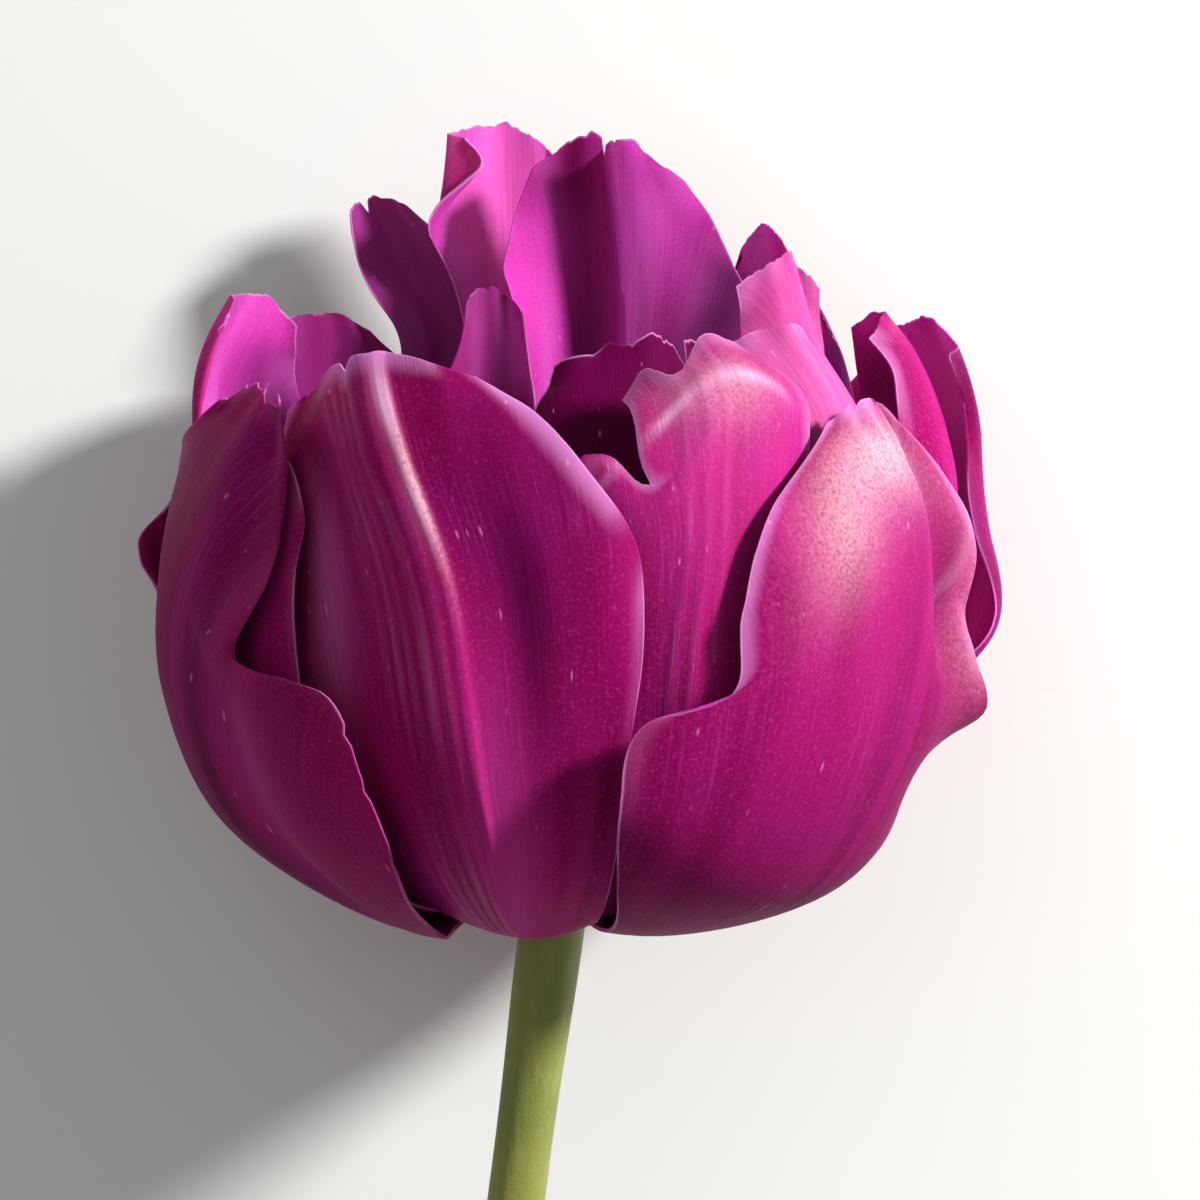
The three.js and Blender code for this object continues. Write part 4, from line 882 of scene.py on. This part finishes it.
def tube(centres, radii, sides, first, shape=None):
    """Points and faces of a bar along centres, with flat ends and an outline that may be shaped."""
    centres = np.asarray(centres, float)
    ahead = np.gradient(centres, axis=0)
    ahead /= np.linalg.norm(ahead, axis=1, keepdims=True)
    side = np.cross(ahead, first)
    side /= np.linalg.norm(side, axis=1, keepdims=True)
    over = np.cross(side, ahead)
    angle = np.linspace(0, 2 * np.pi, sides, endpoint=False)
    radius = np.asarray(radii, float)[:, None] * (np.ones(sides) if shape is None else shape(angle))
    points = (
        centres[:, None]
        + side[:, None] * (radius * np.sin(angle))[..., None]
        - over[:, None] * (radius * np.cos(angle))[..., None]
    )
    count = len(centres)
    index = np.arange(count * sides).reshape(count, sides)
    after = np.roll(index, -1, axis=1)
    faces = np.stack([index[:-1], after[:-1], after[1:], index[1:]], -1).reshape(-1, 4).tolist()
    faces.append(index[0][::-1].tolist())
    faces.append(index[-1].tolist())
    return points.reshape(-1, 3), faces


def joined(parts):
    """Several closed bodies as one mesh's points and faces."""
    points, faces, start = [], [], 0
    for some_points, some_faces in parts:
        points.append(some_points)
        faces += [[start + corner for corner in face] for face in some_faces]
        start += len(some_points)
    return np.concatenate(points), faces


# Stem
RECEPTACLE_TOP = SEAT_BOTTOM + SEAT_STEP * (max(LEVELS) + 1) - PIECE_GAP
CUT_HEIGHT = RECEPTACLE_HEIGHT - STEM_LENGTH * np.sin(TILT)
CUT_DROP = CUT_HEIGHT - STEM_RADIUS_CUT * np.cos(TILT)
STEM_FINE_STEPS = 150
STEM_FINE_END = 0.9999
STEM_FINE_SIDES = 40
STEM_FIT = 0.985
STEM_UNEVEN = 0.012
STEM_NECK_SHARE = 0.13
STEM_SWELL_START = 0.3
RECEPTACLE_BEVEL = 0.6
TOP_INSET = 0.8


def stem_centre(share):
    share = np.asarray(share, float)
    aside = STEM_DRIFT * share - STEM_SWAY * np.sin(np.pi * share)
    centre = np.stack([aside, 0 * share, -STEM_LENGTH * share], -1)
    return centre - SKY * (CUT_DROP * share * share)[..., None]


def stem_radius(share):
    neck = STEM_RADIUS_NECK + (STEM_RADIUS_TOP - STEM_RADIUS_NECK) * (1 - ease(share / STEM_NECK_SHARE))
    swell = ease((share - STEM_SWELL_START) / (1 - STEM_SWELL_START))
    return neck + (STEM_RADIUS_CUT - STEM_RADIUS_NECK) * swell


def stem_outline(angle):
    return 1 + STEM_UNEVEN * np.cos(6 * angle) * np.cos(angle)


def stem_piece():
    share = np.linspace(0, STEM_FINE_END, STEM_FINE_STEPS)[1:]
    heights = (RECEPTACLE_TOP, RECEPTACLE_TOP - RECEPTACLE_BEVEL, 0.0)
    top = np.array([[0, 0, height] for height in heights])
    centres = np.concatenate([top, stem_centre(share)])
    radii = np.concatenate([
        [RECEPTACLE_RADIUS - TOP_INSET, RECEPTACLE_RADIUS, RECEPTACLE_RADIUS],
        stem_radius(share) * STEM_FIT * (1 + STEM_UNEVEN * ripple(share, 24, 7)),
    ])
    points, faces = tube(centres, radii, STEM_FINE_SIDES, SKY, stem_outline)
    placed = lie(points)
    placed[:, 2] = np.maximum(placed[:, 2], 0)
    down = np.repeat(np.concatenate([[0, 0, 0], share]), STEM_FINE_SIDES)
    round_it = np.tile(np.linspace(0, 1, STEM_FINE_SIDES, endpoint=False), len(centres))
    piece = new_mesh("stem_fine", placed, faces, np.stack([round_it, down], -1), down=down)
    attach(piece, "root")
    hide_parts("stem")
    return piece


def stem_material():
    n = Nodes("stem")
    where = n.add("TexCoord").outputs["Object"]
    stretched = n.add("Mapping", {"Vector": where, "Scale": (900.0, 60.0, 900.0)}).outputs[0]
    streak = n.noise(stretched, 1.0, 4.0, 0.6)
    patch = n.noise(where, 90.0, 3.0)
    grain = n.noise(where, 3000.0, 2.0)
    body = n.mix(n.ramp(patch, 0.3, 0.75), colour(114, 122, 44), colour(134, 136, 52))
    body = n.tint(body, n.ramp(streak, 0.5, 0.75), 0.35, colour(160, 162, 96))
    body = n.tint(body, n.ramp(n.value("down"), 0.06, 0.0), 0.5, colour(150, 158, 84))
    relief = n.math("ADD", streak, n.times(grain, 0.5))
    return n.finish(
        Base_Color=body, Roughness=0.52, Normal=n.bump(relief, 0.3, 0.0003),
        Subsurface_Weight=0.1, Subsurface_Radius=(0.5, 0.8, 0.2), Subsurface_Scale=0.001,
        Sheen_Weight=0.15, Sheen_Roughness=0.5,
    )


# Pistil and stamens
STIGMA_LOBES = 3
STAMENS = 6
PISTIL_FOOT = RECEPTACLE_TOP + PIECE_GAP
PISTIL_FIT = 0.97
# Heights and radii of the ovary, then lines of (distance out, height) with their radii
OVARY = [(0, 3.5), (0.9, 3.5), (1.3, 2.3), (6, 2.8), (12, 2.7), (17, 1.9), (18.5, 1.9)]
LOBE_LINE = [(-0.6, 18.6), (0.8, 19.4), (2.4, 19.6), (3.3, 18.6)]
LOBE_RADII = [0.8, 1.5, 1.3, 0.5]
FILAMENT_LINE = [(2.6, 0.4), (3.9, 5), (4.4, 9), (4.5, 10.4)]
FILAMENT_RADII = [0.7, 0.6, 0.4, 0.3]
ANTHER_LINE = [(4.5, 9.6), (4.6, 12), (4.8, 16), (4.7, 20)]
ANTHER_RADII = [0.6, 1.1, 1.1, 0.3]
ANTHER_START = 9.4
ANTHER_CLEARANCE = 3.2


def knobbed(angle):
    return 1 + 0.1 * np.cos(9 * angle)


def grooved(angle):
    return 1 - 0.28 * np.cos(2 * angle) ** 8


def outward_at(turn):
    angle = 2 * np.pi * turn
    return np.array([np.sin(angle), -np.cos(angle), 0])


def bar(outward, line, radii, steps, sides, first, shape=None):
    """A bar that leaves the bloom's axis in a direction, along its line of (distance, height)."""
    share = np.linspace(0, 1, steps)
    line = along(line, share)
    foot = np.array([0, 0, PISTIL_FOOT])
    centres = outward * line[:, :1] + foot + np.array([0, 0, 1]) * line[:, 1:]
    return tube(centres, along([[radius] for radius in radii], share)[:, 0], sides, first, shape)


def pistil_piece():
    rings = np.array(OVARY)
    fine = np.linspace(0, 1, 60)
    heights = along(rings[:, :1], fine)[:, 0]
    radii = np.clip(along(rings[:, 1:], fine)[:, 0], 0.5, 3.5) * PISTIL_FIT
    upright = np.stack([0 * fine, 0 * fine, PISTIL_FOOT + np.maximum(heights, 0.02)], -1)
    ovary = tube(upright, radii, 36, (0, 1, 0), lambda a: 1 - 0.08 * np.cos(3 * a))
    parts = [ovary]
    for k in range(STIGMA_LOBES):
        outward = outward_at(k / STIGMA_LOBES)
        parts.append(bar(outward, LOBE_LINE, LOBE_RADII, 24, 20, (0, 0, 1), knobbed))
    for k in range(STAMENS):
        outward = outward_at((k + 0.5) / STAMENS)
        parts.append(bar(outward, FILAMENT_LINE, FILAMENT_RADII, 20, 12, outward))
        parts.append(bar(outward, ANTHER_LINE, ANTHER_RADII, 20, 20, outward, grooved))
    points, faces = joined(parts)
    height = points[:, 2] - PISTIL_FOOT
    out = np.hypot(points[:, 0], points[:, 1])
    anther = ((height > ANTHER_START) & (out > ANTHER_CLEARANCE)).astype(float)
    piece = new_mesh("pistil_and_stamens_fine", lie(points), faces, anther=anther, height=height)
    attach(piece, "root")
    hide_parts("pistil_and_stamens")
    return piece


def pistil_material():
    n = Nodes("pistil")
    where = n.add("TexCoord").outputs["Object"]
    speck = n.noise(where, 1800.0, 3.0)
    green = n.mix(n.ramp(speck, 0.35, 0.7), colour(150, 160, 84), colour(196, 196, 130))
    green = n.mix(n.ramp(n.value("height"), 17.5, 19.0), green, colour(226, 214, 140))
    dark = n.mix(n.ramp(speck, 0.4, 0.65), colour(34, 16, 34), colour(92, 66, 60))
    body = n.mix(n.value("anther"), green, dark)
    return n.finish(Base_Color=body, Roughness=0.6, Normal=n.bump(speck, 0.4, 0.0002))


# Leaves
LEAF_FINE_ROWS = 150
LEAF_FINE_COLUMNS = 56
LEAF_SEED = 900
LEAF_VEIN_DEPTH = 0.06
LEAF_SWELL_DEPTH = 0.25
LEAF_EDGE_THICKNESS = 0.25
LEAF_MIDDLE_EXTRA = 0.5


def stem_on_table(share):
    return lie(stem_centre(share))


def leaf_grid(leaf):
    """The middle surface of a stem leaf that clasps the stem and arches out to lie on the table."""
    start = stem_on_table(1 - leaf["above_cut"] / STEM_LENGTH)
    clasp = STEM_RADIUS_CUT + PIECE_GAP + LEAF_THICKNESS / 2 + LEAF_CLASP_ROOM
    side, half_width = leaf["side"], leaf["half_width"]
    share = np.linspace(0, 1, LEAF_ROWS + 1)
    heading = np.radians(leaf["spread"]) * ease(share / LEAF_TURN)
    ahead = np.stack([side * np.sin(heading), np.cos(heading), 0 * share], -1)
    outward = np.stack([side * np.cos(heading), -np.sin(heading), 0 * share], -1)
    turn = np.pi / 2 * ease(share / LEAF_ROLL_END)[:, None]
    opened = -outward * np.cos(turn) + np.array([0, 0, 1.0]) * np.sin(turn)
    crosswise = np.cross(ahead, opened)
    half = half_width * along(np.array(LEAF_OUTLINE)[:, None], share)[:, 0]
    base_angle = half_width * LEAF_OUTLINE[0] / clasp
    angle = np.maximum(np.radians(LEAF_CHANNEL), base_angle * (1 - ease(share / LEAF_UNCLASP_END)))
    bend = half / angle
    place = start + np.array([side * clasp, 0, 0]) + np.cumsum(ahead, 0) * leaf["reach"] / LEAF_ROWS
    place -= ahead * leaf["reach"] / LEAF_ROWS
    tip_height = LEAF_THICKNESS / 2
    place[:, 2] = start[2] + (tip_height - start[2]) * ease(share) + leaf["arch"] * np.sin(np.pi * share)
    across = np.linspace(-1, 1, LEAF_COLUMNS + 1)[None, :]
    share = share[:, None]
    angle, bend = angle[:, None], bend[:, None]
    wave = np.abs(across) ** 3 * np.sin(2 * np.pi * LEAF_WAVES * share + across)
    wave = wave * ease(share / LEAF_WAVE_START)
    rise = bend * (1 - np.cos(angle * across)) + LEAF_RIPPLE * wave
    middle = (
        place[:, None]
        + crosswise[:, None] * (bend * np.sin(angle * across))[..., None]
        + opened[:, None] * rise[..., None]
    )
    middle[..., 2] = np.maximum(middle[..., 2], tip_height)
    return middle


def leaf_piece(leaf, number):
    """A leaf with fine veins and a thin edge, over the construction's leaf."""
    share = np.linspace(0, 1, LEAF_FINE_ROWS + 1)[:, None]
    across = np.linspace(-1, 1, LEAF_FINE_COLUMNS + 1)[None, :]
    share, across = np.broadcast_arrays(share, across)
    tip = 1 - 0.02 * share**12 * across**2
    halfway = (across + 1) / 2
    middle = surface(leaf_grid(leaf), share * tip, halfway)
    relief = LEAF_VEIN_DEPTH * ripple(halfway, 36, LEAF_SEED + number)
    relief = relief + LEAF_SWELL_DEPTH * noise(share, halfway, 9, 4, LEAF_SEED + 10 + number)
    middle = middle + normals(middle) * (relief * ease(share / 0.2))[..., None]
    thickness = LEAF_EDGE_THICKNESS + LEAF_MIDDLE_EXTRA * (1 - np.abs(across) ** 5) * (1 - share**8)
    placed = two_faces(middle, thickness)
    placed[..., 2] = np.maximum(placed[..., 2], 0)
    uvs = np.stack([both(halfway), both(share)], -1)
    to_side = np.minimum(spans(middle, 1), spans(middle[:, ::-1], 1)[:, ::-1])
    faces = sheet_faces(*share.shape)
    piece = new_mesh(leaf["name"] + "_fine", placed.reshape(-1, 3), faces, uvs, edge=both(to_side))
    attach(piece, "root")
    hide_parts(leaf["name"])
    return piece


def leaf_material():
    n = Nodes("leaf")
    uv = n.add("UVMap", uv_map="along").outputs["UV"]
    split = n.add("SeparateXYZ", {0: uv})
    place = n.add("CombineXYZ", {0: n.times(split.outputs[0], 55.0), 1: n.times(split.outputs[1], 2.0)})
    vein = n.noise(place.outputs[0], 1.4, 3.0, 0.6)
    where = n.add("TexCoord").outputs["Object"]
    patch = n.noise(where, 45.0, 3.0)
    grain = n.noise(where, 2500.0, 2.0)
    body = n.mix(n.ramp(patch, 0.35, 0.7), colour(80, 116, 76), colour(112, 146, 104))
    body = n.tint(body, n.ramp(vein, 0.5, 0.72), 0.45, colour(144, 172, 130))
    body = n.tint(body, n.ramp(vein, 0.45, 0.3), 0.4, colour(62, 98, 62))
    body = n.tint(body, n.ramp(n.value("edge"), 0.5, 0.05), 0.6, colour(176, 190, 140))
    relief = n.math("ADD", vein, n.times(grain, 0.3))
    return n.finish(
        Base_Color=body, Roughness=0.5, Normal=n.bump(relief, 0.35, 0.0003),
        Subsurface_Weight=0.12, Subsurface_Radius=(0.4, 0.9, 0.2), Subsurface_Scale=0.0012,
        Sheen_Weight=0.2, Sheen_Roughness=0.5,
    )


FLOOR_HALF = 3.0
# Lamps round the bloom's heart: direction, distance and size in metres, power in watts
LAMPS = (
    ("key", (0.8, -0.4, 0.45), 1.1, 0.18, 22.0),
    ("fill", (-0.35, -0.9, 0.3), 1.2, 0.9, 1.6),
)


def stage_and_light():
    """A pale floor, a large soft key light from the upper right and a wide fill."""
    floor_mesh = bpy.data.meshes.new("floor")
    corners = [(-FLOOR_HALF, -FLOOR_HALF, 0), (FLOOR_HALF, -FLOOR_HALF, 0)]
    corners += [(FLOOR_HALF, FLOOR_HALF, 0), (-FLOOR_HALF, FLOOR_HALF, 0)]
    floor_mesh.from_pydata(corners, [], [(0, 1, 2, 3)])
    floor = bpy.data.objects.new("floor", floor_mesh)
    bpy.context.collection.objects.link(floor)
    n = Nodes("floor")
    floor.data.materials.append(n.finish(Base_Color=colour(226, 226, 222), Roughness=0.85))

    world = bpy.data.worlds.new("studio")
    world.use_nodes = True
    world.node_tree.nodes["Background"].inputs["Color"].default_value = (0.95, 0.97, 1.0, 1.0)
    world.node_tree.nodes["Background"].inputs["Strength"].default_value = 0.3
    bpy.context.scene.world = world
    bpy.context.scene.view_settings.view_transform = "Standard"

    heart = (lie(HEART) + SHIFT) * MM
    for name, toward, distance, size, power in LAMPS:
        direction = lie(np.array(toward)) - lie(np.zeros(3))
        direction /= np.linalg.norm(direction)
        data = bpy.data.lights.new(name, "AREA")
        data.shape = "DISK"
        data.size = size
        data.energy = power
        lamp = bpy.data.objects.new(name, data)
        lamp.location = heart + direction * distance
        lamp.rotation_mode = "QUATERNION"
        lamp.rotation_quaternion = Vector(direction).to_track_quat("Z", "Y")
        bpy.context.collection.objects.link(lamp)


# The camera stands where the photograph's did: a little above the bloom's waist, seen from its front
PHOTO_WIDTH = 1200
MM_PER_PIXEL = 0.11
STEM_PIXEL = (555, 905)
CAMERA_RISE = 4
CAMERA_DISTANCE = 600
SENSOR = 36


def camera():
    centre = PHOTO_WIDTH / 2
    target = np.array([(centre - STEM_PIXEL[0]) * MM_PER_PIXEL, 0, (STEM_PIXEL[1] - centre) * MM_PER_PIXEL])
    rise = np.radians(CAMERA_RISE)
    toward = np.array([0, -np.cos(rise), np.sin(rise)])
    back = lie(toward) - lie(np.zeros(3))
    right = np.array([1.0, 0, 0])
    up = np.cross(back, right)
    data = bpy.data.cameras.new("camera")
    data.sensor_width = SENSOR
    data.lens = SENSOR * CAMERA_DISTANCE / (PHOTO_WIDTH * MM_PER_PIXEL)
    data.clip_start = 0.01
    eye = bpy.data.objects.new("camera", data)
    turned = Matrix([[right[k], up[k], back[k]] for k in range(3)]).to_4x4()
    eye.matrix_world = Matrix.Translation((lie(target + toward * CAMERA_DISTANCE) + SHIFT) * MM) @ turned
    bpy.context.collection.objects.link(eye)
    bpy.context.scene.camera = eye


camera()
stage_and_light()
petal_look = petal_material()
for number, (petal, grid) in enumerate(zip(PETALS, GRIDS)):
    petal_piece(petal, grid, number).data.materials.append(petal_look)
stem_piece().data.materials.append(stem_material())
pistil_piece().data.materials.append(pistil_material())
leaf_look = leaf_material()
for number, leaf in enumerate(LEAVES):
    leaf_piece(leaf, number).data.materials.append(leaf_look)
